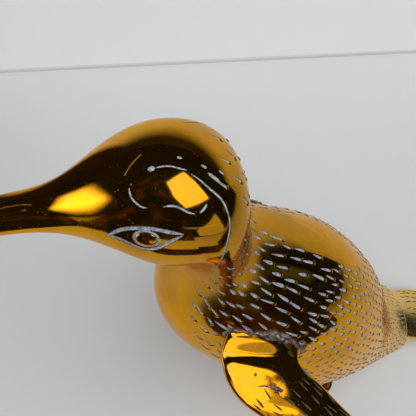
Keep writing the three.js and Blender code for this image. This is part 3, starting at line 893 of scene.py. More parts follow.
def chisel_tree():
    tree = bpy.data.node_groups.new("feather_marks", "GeometryNodeTree")
    face = tree.interface
    face.new_socket("Surface", in_out="INPUT", socket_type="NodeSocketGeometry")
    for name, (kind, value) in SIZES.items():
        made = face.new_socket(name, in_out="INPUT", socket_type=kind)
        if value is not None:
            made.default_value = value
    face.new_socket("Marks", in_out="OUTPUT", socket_type="NodeSocketGeometry")
    entry = tree.nodes.new("NodeGroupInput")
    size = {s.name: Wire(tree, s) for s in entry.outputs if s.name}

    def spread(low, high, step):
        return node(tree, "FunctionNodeRandomValue", {"data_type": "FLOAT"}, {
            "Min_001": low, "Max_001": high, "Seed": size["Seed"] + step}, "Value_001")

    def vector(operation, first, second, key=1, out=0):
        return node(tree, "ShaderNodeVectorMath", {"operation": operation}, {0: first, key: second}, out)

    def xyz(x, y, z):
        return node(tree, "ShaderNodeCombineXYZ", {}, {0: x, 1: y, 2: z})

    def split(value):
        cut = tree.nodes.new("ShaderNodeSeparateXYZ")
        tree.links.new(value.socket, cut.inputs[0])
        return [Wire(tree, s) for s in cut.outputs]

    place = node(tree, "GeometryNodeInputPosition")
    grid = node(tree, "GeometryNodeMeshGrid", {}, {
        "Size X": 1.0, "Size Y": 1.0, "Vertices X": size["Rows"], "Vertices Y": size["Columns"]})
    x, y, _ = split(place)
    row = ((x + 0.5) * (size["Rows"] - 1)).whole()
    column = ((y + 0.5) * (size["Columns"] - 1)).whole()
    u = (row + 0.25 + 0.5 * (column % 2) + spread(*STRAY_ALONG, 1)) / size["Rows"]
    v = (column + 0.5 + spread(*STRAY_ACROSS, 2)) / size["Columns"]
    spots = node(tree, "GeometryNodeStoreNamedAttribute", {"data_type": "FLOAT_VECTOR", "domain": "POINT"}, {
        "Geometry": grid, "Name": "spot", "Value": xyz(u, v, 0.0)})

    def stored(name, kind="FLOAT_VECTOR"):
        return node(tree, "GeometryNodeInputNamedAttribute", {"data_type": kind}, {"Name": name})

    spot, chart = stored("spot"), stored("chart")

    def sampled(field, kind="FLOAT_VECTOR"):
        return node(tree, "GeometryNodeSampleUVSurface", {"data_type": kind}, {
            "Mesh": size["Surface"], "Value": field, "Source UV Map": chart, "Sample UV": spot})

    moved = node(tree, "GeometryNodeSetPosition", {}, {"Geometry": spots, "Position": sampled(place)})
    normal = sampled(node(tree, "GeometryNodeInputNormal"))
    flow = sampled(stored("flow"))
    twist = vector("SCALE", vector("CROSS_PRODUCT", normal, flow), spread(*STRAY_TURN, 3), "Scale")
    turn = node(tree, "FunctionNodeAxesToRotation", {"primary_axis": "Z", "secondary_axis": "X"}, {
        "Primary Axis": normal, "Secondary Axis": vector("ADD", flow, twist)})
    grown = sampled(stored("grown", "FLOAT"), "FLOAT")
    kept = grown > spread(*THINNING, 4)
    scale = xyz(size["Length"] * (MM / 2 * spread(*LENGTHS, 5)), size["Width"] * (MM / 2 * spread(*WIDTHS, 6)),
                size["Depth"] * MM)
    ball = node(tree, "GeometryNodeMeshUVSphere", {}, CUTTER)
    bx, by, bz = split(place)
    # faces above the chalk get the painted dark shade of the cut's walls
    ball = node(tree, "GeometryNodeStoreNamedAttribute", {"data_type": "BOOLEAN", "domain": "FACE"}, {
        "Geometry": ball, "Name": "deep", "Value": CHALK_BELOW - bz > 0.0})
    narrowed = 1 - size["Taper"] * (0.5 - bx * 0.5)
    tear = xyz(bx * size["Reach"] + size["Middle"], by * size["Spread"] * narrowed, bz * size["Rise"])
    drop = node(tree, "GeometryNodeSetPosition", {}, {"Geometry": ball, "Position": tear})
    marks = node(tree, "GeometryNodeInstanceOnPoints", {}, {
        "Points": moved, "Selection": kept, "Instance": drop, "Rotation": turn, "Scale": scale})
    real = node(tree, "GeometryNodeRealizeInstances", {}, {"Geometry": marks})
    dressed = node(tree, "GeometryNodeSetMaterial", {}, {"Geometry": real, "Material": size["Finish"]})
    leave = tree.nodes.new("NodeGroupOutput")
    tree.links.new(dressed.socket, leave.inputs[0])
    return tree


chisel = chisel_tree()
SOCKET = {item.name: item.identifier for item in chisel.interface.items_tree}
BURR = {"Middle": 0.98, "Reach": 0.3, "Spread": 1.25, "Rise": 0.42, "Taper": 0.0}
print("chisel tree", len(chisel.nodes), "nodes")


def marks_on(name, surface, number, sizes):
    """Runs the chisel's tree on a surface and returns its marks as one plain body."""
    step = surface.modifiers.new("chisel", "NODES")
    step.node_group = chisel
    for key, value in sizes.items():
        step[SOCKET[key]] = value
    graph = bpy.context.evaluated_depsgraph_get()
    mesh = bpy.data.meshes.new_from_object(surface.evaluated_get(graph))
    surface.modifiers.clear()
    made = bpy.data.objects.new(name, mesh)
    scene.collection.objects.link(made)
    dress(mesh, number)
    if number == CHALK:
        # the walls of each cut get painted dark shade, the deep faces chalk
        deep = np.zeros(len(mesh.polygons), bool)
        mesh.attributes["deep"].data.foreach_get("value", deep)
        mesh.polygons.foreach_set("material_index", np.where(deep, CHALK, CUT_WALL_SHADE))
    return made


def surface_chart(name, points, flow, grown):
    """An open patch with its own map, the way the feathers lie and how thickly they grow."""
    rows, columns = points.shape[:2]
    faces = [(r * columns + c, (r + 1) * columns + c, (r + 1) * columns + c + 1, r * columns + c + 1)
             for r in range(rows - 1) for c in range(columns - 1)]
    made = body(name, points.reshape(-1, 3), faces)
    mesh = made.data
    chart = mesh.uv_layers.new(name="chart")
    for loop, item in zip(mesh.loops, chart.data):
        r, c = divmod(loop.vertex_index, columns)
        item.uv = r / (rows - 1), c / (columns - 1)
    mesh.attributes.new("flow", "FLOAT_VECTOR", "POINT").data.foreach_set("vector", flow.reshape(-1))
    mesh.attributes.new("grown", "FLOAT", "POINT").data.foreach_set("value", grown.reshape(-1))
    return made


# %% Marks over neck, back, flanks and rump
HOOD_AROUND = np.array([-90, -5, 9, 35, 44, 55, 60, 66, 90])
HOOD_ALONG = np.array([150, 127, 118, 112.5, 111.5, 108, 104, 101, 100])
HOOD_MARGIN = 4.5
FEATHER_EDGE, EDGE_SOFTNESS = -27, 8
CREST_ALONG = (150, 165, 207, 232, 255)
CREST_LEFT, CREST_RIGHT = (95, 88, 76, 82, 95), (95, 60, 60, 70, 95)
BODY_WAY, LIE_SHARE = np.array([0, 0.665, -0.747]), 2.5
BANDS = [
    # from, to, spacing along and across, length, width
    (102, 150, 8.6, 4.4, 6.2, 1.5),
    (150, 206, 10.4, 5.4, 8.4, 2.2),
    (206, 300, 8.8, 4.9, 6.6, 2.0),
    (300, 390, 7.4, 4.4, 5.2, 1.7),
]
BAND_RINGS, BAND_SIDES = 40, 181


def feather_flow(d, a):
    """The way the feathers lie: along the skin, and drawn towards the way of the whole body."""
    flow = units(trunk_point(d + 0.5, a) - trunk_point(d - 0.5, a))
    normal = units(np.cross(trunk_point(d, a + 0.5) - trunk_point(d, a - 0.5), flow))
    lie = BODY_WAY - (normal * BODY_WAY).sum(-1, keepdims=True) * normal
    return units(flow + LIE_SHARE * lie / np.linalg.norm(lie, axis=-1, keepdims=True))


def feather_growth(d, a):
    """1 where feathers are cut, 0 on the belly, inside the hood and on the plain crest of the back."""
    folded = np.where(a > 90, 180 - a, a)
    hood = np.interp(folded, HOOD_AROUND, HOOD_ALONG)
    crest_right, crest_left = (np.interp(d, CREST_ALONG, crest) for crest in (CREST_RIGHT, CREST_LEFT))
    edge = np.clip((folded - FEATHER_EDGE) / EDGE_SOFTNESS + 0.5, 0, 1)
    return edge * (d > hood + HOOD_MARGIN) * (folded < np.where(a > 90, crest_right, crest_left))


def feather_bands():
    cuts, burrs = [], []
    for index, (start, end, along, across, length, width) in enumerate(BANDS):
        d = np.linspace(start, end, BAND_RINGS)[:, None]
        a = np.linspace(-90, 270, BAND_SIDES)[None]
        points = trunk_point(d, a)
        surface = surface_chart("band", points, feather_flow(d, a), feather_growth(d, a))
        girth = np.linalg.norm(np.diff(points[BAND_RINGS // 2], axis=0), axis=1).sum() / MM
        sizes = {"Rows": round((end - start) / along), "Columns": 2 * round(girth / across / 2),
                 "Seed": 11 * index + 3, "Length": length, "Width": width, "Finish": chalk}
        cuts.append(marks_on("cuts", surface, CHALK, sizes))
        burrs.append(marks_on("burrs", surface, BRASS, {**sizes, **BURR}))
        bpy.data.objects.remove(surface)
    return joined("trunk_cuts", cuts), joined("trunk_burrs", burrs)


trunk_cuts, trunk_burrs = feather_bands()
print("trunk marks", len(trunk_cuts.data.polygons), "cutter faces")
for piece in (head, torso):
    carve(piece, trunk_burrs, "UNION", keep=True)
    carve(piece, trunk_cuts, keep=True)
    print(piece.name, "drops", keep_main_body(piece), "burrs that sit on its neighbour")
    print(piece.name, len(piece.data.polygons), "faces after cutting")
for tool in (trunk_cuts, trunk_burrs):
    bpy.data.objects.remove(tool)

# %% Marks on the flipper's blade and the tail
BLADE_START = ((20, 42), (60, 34), (100, 27), (140, 22), (165, 20))
BLADE_FROM, BLADE_SHORT, TAIL_FROM, TAIL_TO = 14, 7, 14, 63
UPPER_FACE = np.linspace(160, 20, 30)
BLADE_SIZES = {"Rows": 9, "Columns": 8, "Seed": 61, "Length": 7.5, "Width": 1.5, "Depth": 0.5, "Finish": chalk}
TAIL_SIZES = {"Rows": 7, "Columns": 10, "Seed": 71, "Length": 8.0, "Width": 1.5, "Depth": 0.5, "Finish": chalk}


def plate_marks(name, point_at, places, start, sizes):
    """Rows of marks along a plate's upper face, beginning at a distance that depends on the angle."""
    turned = np.radians(UPPER_FACE)
    points = np.array([[point_at(d, a) for a in turned] for d in places])
    flow = units(np.array([[point_at(d + 0.5, a) - point_at(d - 0.5, a) for a in turned] for d in places]))
    first = np.interp(UPPER_FACE, *np.array(start).T)
    grown = (places[:, None] > first[None]) * 0.97
    surface = surface_chart(name, points, flow, grown)
    cuts = marks_on(name, surface, CHALK, sizes)
    bpy.data.objects.remove(surface)
    return cuts


for pose, piece in ((held_out, left_flipper), (laid_flat, flat_flipper)):
    places = np.linspace(pose.inside + BLADE_FROM, pose.end - BLADE_SHORT, 40)
    start = [(a, d + pose.inside - held_out.inside) for a, d in BLADE_START]
    carve(piece, plate_marks("blade_marks", pose.point, places, start, BLADE_SIZES))
places = np.linspace(TAIL_FROM, TAIL_TO, 30)
carve(tail, plate_marks("tail_marks", tail_point, places, ((20, 0), (160, 0)), TAIL_SIZES))
print("flipper", len(left_flipper.data.polygons), "faces, tail", len(tail.data.polygons), "faces")

# %% Pit and casting flaw on the left flipper
FLAWS = [
    # distance from the root and angle, then half length, half width and depth
    (25.5, 66, 0.8, 0.8, 0.7), (32.6, 63, 1.6, 0.35, 0.3), (32.4, 68, 1.5, 0.4, 0.35),
    (32.8, 73, 1.8, 0.6, 0.5), (33.4, 78, 1.7, 1.1, 0.7), (34.6, 81, 1.8, 1.3, 0.8),
    (35.6, 84, 1.4, 1.0, 0.6), (36.6, 76, 0.8, 0.6, 0.4),
]
LUMPS = [(32.0, 81, 1.4, 0.9, 0.5), (35.8, 79, 1.1, 0.8, 0.4), (31.8, 75, 1.2, 0.5, 0.3)]
PEBBLE_RINGS, PEBBLE_SIDES, PEBBLE_ROUGH, PEBBLE_GRAIN = 13, 18, 0.4, 1.7


def pebble(distance, angle, length, width, depth, number):
    """A rough ball on the blade's face, to cut with or to leave as a blob of metal."""
    place = held_out.point(distance, math.radians(angle))
    (near,), (normal,), _ = left_flipper_skin.nearest([place])
    across = held_out.half(distance)
    along, across = unit(np.cross(normal, across)), unit(across)
    rings = []
    for tip in np.linspace(0, np.pi, PEBBLE_RINGS)[1:-1]:
        ring = []
        for turn in full_turn(PEBBLE_SIDES):
            arm = (across * math.cos(turn) * length + along * math.sin(turn) * width) * math.sin(tip)
            arm = arm + normal * math.cos(tip) * depth
            rough = 1 + PEBBLE_ROUGH * grain(Vector(near / MM + arm * PEBBLE_GRAIN))
            ring.append(near + arm * rough * MM)
        rings.append(ring)
    return loft("pebble", rings, number)


for lump in LUMPS:
    carve(left_flipper, pebble(*lump, BRASS), "UNION")
for flaw in FLAWS:
    carve(left_flipper, pebble(*flaw, FLAW))
print("flipper", len(left_flipper.data.polygons), "faces after its flaws")

# %% [markdown]
# ## Eye, hood and crown
# The eye is an almond drawn with a graver round a raised pupil. A line behind the cheek is the edge of
# the hood, and a few curved strokes stand for feathers on the crown. The strokes are drawn in the
# photograph's frame, thrown onto the brass along the lines of sight and cut there. The first three, the
# two lids and the hood, are mirrored to the other side.

# %% Engraved lines
PUPIL = (146, 239.5)
PUPIL_SIZE = (4.1, 3.2, 1.0)
IRIS_SIZE = (4.6, 3.6)
IRIS_CUT = (0.55, 0.4)
DOME_RINGS, DOME_SIDES, IRIS_STEPS = 25, 48, 60
STROKES = [
    # points, half width and depth
    (((105, 236.5), (113, 233), (120, 230.2), (130, 228.5), (143, 228.5), (155, 229.5), (167, 232),
      (184, 234.5)), 0.85, 0.5),
    (((106, 235.5), (115, 237.5), (125, 241.5), (135, 246.2), (143, 248.8), (153, 249.2), (161, 247),
      (169, 242.5), (176, 239), (183, 235.5)), 0.85, 0.5),
    (((191, 174), (200, 180), (208, 187), (215, 193), (222, 200), (227, 210), (230, 222), (229, 235),
      (226, 248), (220, 262), (213, 272)), 0.45, 0.4),
    (((129, 188), (131, 197), (136, 203), (142, 207), (147, 208)), 0.4, 0.35),
    (((163, 207), (172, 206), (180, 208), (190, 213), (195, 214)), 0.4, 0.35),
    (((200, 213), (204, 209), (207, 204)), 0.5, 0.35),
    (((148, 170.5), (151, 168.6), (155, 168)), 0.85, 0.4),
    (((155, 168), (166, 166), (175, 167), (182, 169), (187, 170)), 0.3, 0.3),
    (((208, 173), (215, 178), (221, 183)), 0.75, 0.45),
    (((219, 170.5), (224, 174)), 0.55, 0.4),
    (((201, 165), (207, 168)), 0.6, 0.4),
    (((177, 157), (182, 158)), 0.55, 0.4),
]
BOTH_SIDES = 3
GROOVE_SIDES, GROOVE_FLOOR = 12, (7, 8, 9, 10)
STROKE_STEP = 1.3
CHATTER, CHATTER_PACE = 0.16, 2.4


def along_pixels(pixels):
    pixels = np.array(pixels, float)
    start, end = pixels[0], pixels[-1]
    run = run_along(pixels)
    path = natural_spline(run, pixels) if len(pixels) > 2 else lambda t: start + (end - start) * t / run[-1]
    return [path(t) for t in np.linspace(0, run[-1], max(5, round(run[-1] / STROKE_STEP)))]


def steps_ahead(path, closed):
    return np.roll(path, -1, 0) - np.roll(path, 1, 0) if closed else np.gradient(path, axis=0)


def groove(name, spots, half_width, depth, closed=False):
    """A graver's cut along spots on the skin: a flattened tube, thin at its open ends."""
    places = np.array([place for place, _ in spots])
    normals = np.array([normal for _, normal in spots])
    across = np.cross(normals, units(steps_ahead(places, closed)))
    share = np.linspace(0, 1, len(spots))
    thin = np.ones(len(spots)) if closed else np.clip(np.minimum(share, 1 - share) * 6, 0.12, 1) ** 0.6
    thin = thin * (1 + CHATTER * np.sin(np.arange(len(spots)) * CHATTER_PACE))
    rings = [[place + (side * math.cos(t) * half_width + normal * math.sin(t) * depth) * size * MM
              for t in full_turn(GROOVE_SIDES)]
             for place, side, normal, size in zip(places, across, normals, thin)]
    # the groove's walls in painted dark shade, its floor in chalk
    made = loft(name, rings, CUT_WALL_SHADE, closed)
    walls = (len(rings) - (not closed)) * GROOVE_SIDES
    for index in range(walls):
        if index % GROOVE_SIDES in GROOVE_FLOOR:
            made.data.polygons[index].material_index = CHALK
    return made


def eye_frame():
    place, normal = head_skin.hit(PUPIL)
    right = head_skin.hit((PUPIL[0] + 4, PUPIL[1]))[0] - place
    right = unit(right - normal * (right @ normal))
    return place, normal, right, np.cross(normal, right)


def eye_dome():
    place, normal, right, up = eye_frame()
    turn = full_turn(DOME_SIDES)[:, None]
    long, short, high = PUPIL_SIZE
    return loft("dome", [
        place + (right * np.cos(turn) * long * math.sin(tip) + up * np.sin(turn) * short * math.sin(tip)
                 + normal * math.cos(tip) * high) * MM
        for tip in np.linspace(0, np.pi, DOME_RINGS)[1:-1]])


def iris_ring():
    place, _, right, up = eye_frame()
    turn = full_turn(IRIS_STEPS)[:, None]
    ring = place + (right * np.cos(turn) * IRIS_SIZE[0] + up * np.sin(turn) * IRIS_SIZE[1]) * MM
    near, normal, _ = head_skin.nearest(ring)
    return groove("iris", list(zip(near, normal)), *IRIS_CUT, closed=True)


def cut_both_sides(tool, operation="DIFFERENCE"):
    other = mirrored(tool, "other_side")
    carve(head, tool, operation)
    carve(head, other, operation)


cut_both_sides(eye_dome(), "UNION")
cut_both_sides(iris_ring())
for index, (points, half_width, depth) in enumerate(STROKES):
    tool = groove("stroke", [head_skin.hit(p) for p in along_pixels(points)], half_width, depth)
    if index < BOTH_SIDES:
        cut_both_sides(tool)
    else:
        carve(head, tool)
print("head", len(head.data.polygons), "faces after engraving")

# %% [markdown]
# ## Braze
# Flippers, tail and legs are held by filler metal that was melted into the crease and never filed. It
# set in lumps. Each bead follows the line where a casting leaves the torso: a tube whose thickness
# wanders, made rough with noise and then cut by the torso and the casting, so that it fills the crease
# between them.

# %% Beads of filler
BEAD_STEP, BEAD_SIDES, ROOT_STEPS, HALVINGS = 0.45, 20, 96, 16
BEAD_WIDE, BEAD_HIGH, BEAD_THINNEST = 1.25, 0.8, 0.35
# how much the lumps add, and how many there are to a millimetre
COARSE_SHARE, COARSE_PACE, FINE_SHARE, FINE_PACE = 0.55, 0.45, 0.3, 1.3
FLAT_RADIUS, TAIL_RADIUS, LEG_RADIUS = 2.4, 1.9, 2.0
# the left flipper's bead: places across the photograph, and its radius there
LEFT_BEAD = ((205, 0.8), (222, 0.9), (229, 1.5), (236, 1.3), (243, 0.6), (250, 1.5), (257, 1.2), (262, 1.7),
             (270, 2.8), (281, 2.9), (289, 2.3), (294, 1.2), (299, 2.2), (304, 1.3))


def pixel_of(place):
    ray = Vector(place) - EYE
    scale = FOCAL_PIXELS / ray.dot(LOOK)
    return PHOTO / 2 + ray.dot(SIDE) * scale, PHOTO / 2 - ray.dot(TOP) * scale


def leaves_torso(point_at, angle, inside, outside):
    """Where a line of a casting's skin comes out of the torso, found by halving."""
    for _ in range(HALVINGS):
        middle = (inside + outside) / 2
        place = point_at(middle, angle)
        near, normal, _ = torso_skin.nearest([place])
        if (place - near[0]) @ normal[0] > 0:
            outside = middle
        else:
            inside = middle
    return point_at(outside, angle)


def root_of(point_at, inside, outside):
    return [leaves_torso(point_at, angle, inside, outside) for angle in full_turn(ROOT_STEPS)]


def even_path(path, closed):
    path = np.array(path)
    if closed:
        path = np.concatenate([path, path[:1]])
    run = run_along(path) / MM
    steps = np.linspace(0, run[-1], round(run[-1] / BEAD_STEP), endpoint=not closed)
    return np.stack([np.interp(steps, run, column) for column in path.T], 1)


def bead(name, path, radius_at, casting, closed=True):
    """A lumpy tube along a path, cut away where the torso and the casting are."""
    path = even_path(path, closed)
    _, normals, _ = torso_skin.nearest(path)
    rings = []
    for place, way, normal in zip(path, steps_ahead(path, closed), normals):
        side = unit(np.cross(normal, way))
        radius = radius_at(place)
        ring = []
        for turn in full_turn(BEAD_SIDES):
            arm = side * math.cos(turn) * BEAD_WIDE + normal * math.sin(turn) * BEAD_HIGH
            spot = Vector((place + arm * radius * MM) / MM)
            lump = 1 + COARSE_SHARE * grain(spot * COARSE_PACE) + FINE_SHARE * grain(spot * FINE_PACE)
            ring.append(place + arm * radius * max(lump, BEAD_THINNEST) * MM)
        rings.append(ring)
    made = loft(name, rings, closed_path=closed)
    carve(made, torso_plain, keep=True)
    carve(made, casting, keep=True)
    one_finish(made, filler)
    return made


def left_radius(place):
    return float(np.interp(pixel_of(place)[0], *np.array(LEFT_BEAD).T))


for piece in (left_flipper, flat_flipper, tail, left_foot):
    carve(piece, torso_plain, keep=True)
flat_root = [laid_flat.point(0.3, angle) for angle in np.radians(np.linspace(8, 172, 60))]
left_bead = bead("left_flipper_bead", root_of(held_out.point, 0, 20), left_radius, left_flipper)
flat_bead = bead("flat_flipper_bead", flat_root, lambda place: FLAT_RADIUS, flat_flipper, closed=False)
tail_bead = bead("tail_bead", root_of(tail_point, -9, 12), lambda place: TAIL_RADIUS, tail)
leg_bead = bead("left_leg_bead", root_of(leg_point, LEG_LENGTH + 20, LEG_LENGTH - 45),
                lambda place: LEG_RADIUS, left_foot)
print("beads", [len(b.data.polygons) for b in (left_bead, flat_bead, tail_bead, leg_bead)], "faces")

# %% [markdown]
# ## Parting, polishing and placing
# The torso is parted into its two halves down the middle. The polished castings get the normals of
# their uncut skins back, so that reflections run smoothly up to each cut. Every piece rides on the one
# rigid body.

# %% Halves, normals and hand-over of the pieces
MIDDLE, HALF_GAP = SHIFT_X * MM, 0.00001
left_space = box("left_space", (MIDDLE + HALF_GAP, -0.4, -0.1), (0.2, 0.4, 0.4))
right_space = box("right_space", (-0.2, -0.4, -0.1), (MIDDLE - HALF_GAP, 0.4, 0.4))
torso_left = carve(copy_of(torso, "torso_left"), left_space, "INTERSECT")
torso_right = carve(torso, right_space, "INTERSECT")
torso_right.name = "torso_right"
right_foot = mirrored(left_foot, "right_foot_casting")
right_flipper = mirrored(flat_flipper, "right_flipper_plate")
right_bead = mirrored(flat_bead, "right_flipper_bead")
right_leg_bead = mirrored(leg_bead, "right_leg_bead")
for tool in (torso_plain, flat_flipper, flat_bead):
    bpy.data.objects.remove(tool)
for piece, skin in ((head, head_skin), (torso_left, torso_skin), (torso_right, torso_skin), (tail, tail_skin),
                    (left_flipper, left_flipper_skin), (right_flipper, flat_flipper_skin.other_side())):
    polish(piece, skin)
STANDS_FOR = {
    "head_casting": head, "torso_left_half": torso_left, "torso_right_half": torso_right,
    "left_flipper": left_flipper, "right_flipper": right_flipper, "tail_casting": tail,
    "left_foot": left_foot, "right_foot": right_foot, "left_flipper_braze": left_bead,
    "right_flipper_braze": right_bead, "tail_braze": tail_bead, "left_leg_braze": leg_bead,
    "right_leg_braze": right_leg_bead,
}
for node_name, piece in STANDS_FOR.items():
    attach(piece, "root")
    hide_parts(node_name)
    print(piece.name, len(piece.data.polygons), "faces")

# %% [markdown]
# ## Table, backdrop and light
# A pale table stands before a pale board, under a soft fill from above. The board glows faintly with painted
# light, and its darkening upwards, towards its front end and in a strip at its foot is painted shade.
# Polished brass has hardly a colour of its own: it shows the room. So the room is built too, from sheets that
# only
# the mirror sees: a window over the tail and one before the beak, a pale shelf and card, and dark cloth
# on the camera's side. The gold rims, the dark patches and the yellow panes on the bird come from them.

# %% Table and board
FLOOR_HALF, FLOOR_LEFT = 1.7, 1.0
WALL_LINE = ((-0.441, -0.289), (-0.392, 0.317))
WALL_HEIGHT = 0.8
FOOT_SHADE = 0.009
BOARD_SHADE_UP, BOARD_SHADE_FRONT = (0.27, 0.62), (-0.4, -0.3)


def sheet(name, points, material):
    made = body(name, points, [range(len(points))])
    one_finish(made, material)
    chart = made.data.uv_layers.new(name="chart")
    for item, corner in zip(chart.data, ((0, 0), (1, 0), (1, 1), (0, 1))):
        item.uv = corner
    return made


def pale_table():
    material, tree, shader = finish("pale_table")
    mottle = noise(place_of(tree), 6.0, 2.0)
    shade = blend(mottle, (0.75, 0.765, 0.775, 1), (0.775, 0.79, 0.8, 1))
    set_shader(tree, shader, {"Base Color": shade, "Roughness": 0.4, "Specular IOR Level": 0.3})
    return material


def pale_board():
    material, tree, shader = finish("pale_board")
    place = place_of(tree)
    up = axis_of(place, "Z")
    # painted shade: the board darkens upwards and towards its front end
    pale = (1 - between(up, *BOARD_SHADE_UP)) * between(axis_of(place, "Y"), *BOARD_SHADE_FRONT)
    # painted shadow in a thin strip at the board's foot
    foot = 0.6 - 0.6 * between(up, 0.0, FOOT_SHADE)
    shade = blend(pale, (0.03, 0.024, 0.016, 1), (0.8, 0.81, 0.805, 1))
    # painted light: the pale part of the board glows faintly
    glow = blend(pale, (0.0, 0.0, 0.0, 1), (0.21, 0.213, 0.21, 1))
    set_shader(tree, shader, {
        "Base Color": blend(foot, shade, (0.36, 0.37, 0.37, 1)),
        "Emission Color": blend(foot, glow, (0.1, 0.1, 0.1, 1)),
        "Emission Strength": 1.0, "Roughness": 0.6, "Specular IOR Level": 0.2})
    clear = tree.nodes.new("ShaderNodeBsdfTransparent")
    mix = tree.nodes.new("ShaderNodeMixShader")
    back = node(tree, "ShaderNodeNewGeometry", out="Backfacing")
    tree.links.new(back.socket, mix.inputs[0])
    tree.links.new(shader.outputs["BSDF"], mix.inputs[1])
    tree.links.new(clear.outputs["BSDF"], mix.inputs[2])
    output = next(n for n in tree.nodes if n.type == "OUTPUT_MATERIAL")
    tree.links.new(mix.outputs["Shader"], output.inputs["Surface"])
    return material


def along_wall(share, height):
    (x0, y0), (x1, y1) = WALL_LINE
    return (x0 + (x1 - x0) * share, y0 + (y1 - y0) * share, height)


floor = sheet("floor", [(-FLOOR_HALF, -FLOOR_HALF, 0), (FLOOR_LEFT, -FLOOR_HALF, 0),
                        (FLOOR_LEFT, FLOOR_HALF, 0), (-FLOOR_HALF, FLOOR_HALF, 0)], pale_table())
wall = sheet("wall", [along_wall(-2, 0), along_wall(3, 0), along_wall(3, WALL_HEIGHT),
                      along_wall(-2, WALL_HEIGHT)], pale_board())
print("stage", floor.name, wall.name)

# %% What the mirror sees
HEAD_MIDDLE = Vector((-0.009, -0.08, 0.25))
CLOTH = [
    # foot from, foot to, low and high
    ((0.2, -0.46), (0.2, -0.3), 0.0, 1.0),
    ((0.2, -0.3), (0.2, -0.16), 0.08, 1.0),
    ((0.2, -0.16), (0.2, -0.04), 0.19, 1.0),
    ((0.2, -0.3), (0.2, -0.04), 0.0, 0.11),
    ((0.2, -0.04), (0.2, 0.04), 0.02, 0.13),
    ((0.2, 0.04), (0.27, 0.17), 0.045, 0.155),
    ((0.27, 0.17), (0.3, 0.4), 0.045, 0.155),
]
SHELF_HEIGHT = 0.266
SHELF = ((0.148, -0.06), (0.26, -0.06), (0.26, 0.11), (0.176, 0.11))
SHELF_GLOW, CARD_GLOW, STRIP_GLOW = (1.7, 1.65, 1.55), (0.72, 0.7, 0.64), (1.1, 0.8, 0.4)
CARD = ((0.26, -0.008, 0.2), (0.176, 0.13, 0.2), (0.176, 0.13, 0.33), (0.26, -0.008, 0.252))
STRIP_LOW, STRIP_WIDTH = 1.25, 0.03
STRIPS = [((0.07, -1.04), (-0.48, -0.43)), ((0.62, -0.92), (0.42, -0.98))]


def glowing(name, colour, edge=0.0, streaks=0.0):
    """A sheet's finish that only shines, fading towards its edges on the sheet's own map."""
    material, tree, shader = finish(name)
    chart = node(tree, "ShaderNodeUVMap", {"uv_map": "chart"})
    u, v = (axis_of(chart, axis) for axis in "XY")
    level = 1.0 - streaks * noise(place_of(tree), 9.0)
    if edge:
        for side in (u, 1 - u, v, 1 - v):
            level = level * between(side, 0.0, edge)
    set_shader(tree, shader, {
        "Base Color": (0, 0, 0, 1), "Specular IOR Level": 0.0, "Emission Strength": 1.0,
        "Emission Color": blend(level, (0.0, 0.0, 0.0, 1), tuple(colour) + (1,))})
    return material


def dark_cloth():
    material, tree, shader = finish("dark_cloth")
    folds = ramp(noise(place_of(tree), 9.0, 2.0), (0.48, 0), (0.66, 1))
    set_shader(tree, shader, {
        "Base Color": (0, 0, 0, 1), "Specular IOR Level": 0.0, "Emission Strength": 1.0,
        "Emission Color": blend(folds, (0.012, 0.014, 0.009, 1), (0.075, 0.036, 0.014, 1))})
    return material


def mirror_sheet(name, points, material):
    """A sheet that is seen only in the brass."""
    made = sheet(name, points, material)
    made.visible_camera = made.visible_diffuse = made.visible_shadow = False


def upright(name, start, end, low, high, material):
    mirror_sheet(name, [(*start, low), (*end, low), (*end, high), (*start, high)], material)


def way_to(azimuth, elevation):
    """Azimuth 0 is in front of the beak, 90 on the bird's left."""
    a, e = math.radians(azimuth), math.radians(elevation)
    return Vector((math.sin(a) * math.cos(e), -math.cos(a) * math.cos(e), math.sin(e)))


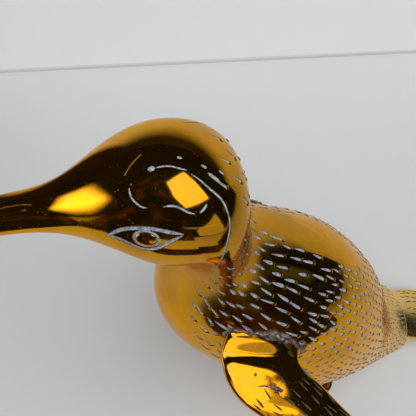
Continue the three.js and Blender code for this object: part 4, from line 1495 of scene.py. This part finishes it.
def pane(name, azimuth, elevation, distance, size, colour, edge, streaks=0.0):
    """A window, facing the head."""
    way = way_to(azimuth, elevation)
    right = Vector((math.cos(math.radians(azimuth)), math.sin(math.radians(azimuth)), 0))
    up = right.cross(way)
    middle = HEAD_MIDDLE + way * distance
    corners = [middle + right * x * size[0] / 2 + up * y * size[1] / 2
               for x, y in ((-1, -1), (1, -1), (1, 1), (-1, 1))]
    mirror_sheet(name, corners, glowing(name, colour, edge, streaks))


cloth = dark_cloth()
for index, panel in enumerate(CLOTH):
    upright(f"dark_cloth_{index}", *panel, cloth)
pane("window", 128, 50, distance=1.3, size=(0.92, 0.86), colour=(1.8, 1.75, 1.65), edge=0.02)
pane("front_window", 8, 5, distance=0.6, size=(0.42, 0.48), colour=(3.0, 2.95, 2.8), edge=0.3, streaks=0.35)
mirror_sheet("pale_shelf", [(x, y, SHELF_HEIGHT) for x, y in SHELF], glowing("pale_shelf", SHELF_GLOW))
mirror_sheet("pale_card", CARD, glowing("pale_card", CARD_GLOW, edge=0.06, streaks=0.3))
pane("far_room", 160, 8, distance=1.5, size=(0.62, 0.3), colour=(0.1, 0.13, 0.05), edge=0.35, streaks=0.5)
for index, (start, end) in enumerate(STRIPS):
    name = f"strip_{index}"
    upright(name, start, end, STRIP_LOW, STRIP_LOW + STRIP_WIDTH, glowing(name, STRIP_GLOW))

# %% Lamps and room
LAMP_TARGET, LAMP_DISTANCE = Vector((0, 0, 0.1)), 1.5
ROOM_COLOUR = (0.014, 0.014, 0.009, 1)


def lamp(name, azimuth, elevation, size, power):
    way = way_to(azimuth, elevation)
    light = bpy.data.lights.new(name, "AREA")
    light.shape = "RECTANGLE"
    light.size = light.size_y = size
    light.energy = power
    made = bpy.data.objects.new(name, light)
    made.location = LAMP_TARGET + way * LAMP_DISTANCE
    made.rotation_euler = way.to_track_quat("Z", "Y").to_euler()
    made.visible_camera = made.visible_glossy = False
    scene.collection.objects.link(made)


lamp("fill", 124, 68, size=1.5, power=16)
lamp("side_fill", 40, 62, size=1.2, power=6)
world = bpy.data.worlds.new("dark_room")
scene.world = world
world.use_nodes = True
room = world.node_tree.nodes["Background"].inputs
room["Color"].default_value, room["Strength"].default_value = ROOM_COLOUR, 1.0
scene.view_settings.view_transform = "Standard"

# %% [markdown]
# ## Update
# The view layer is brought up to date.

# %% Update
bpy.context.view_layer.update()
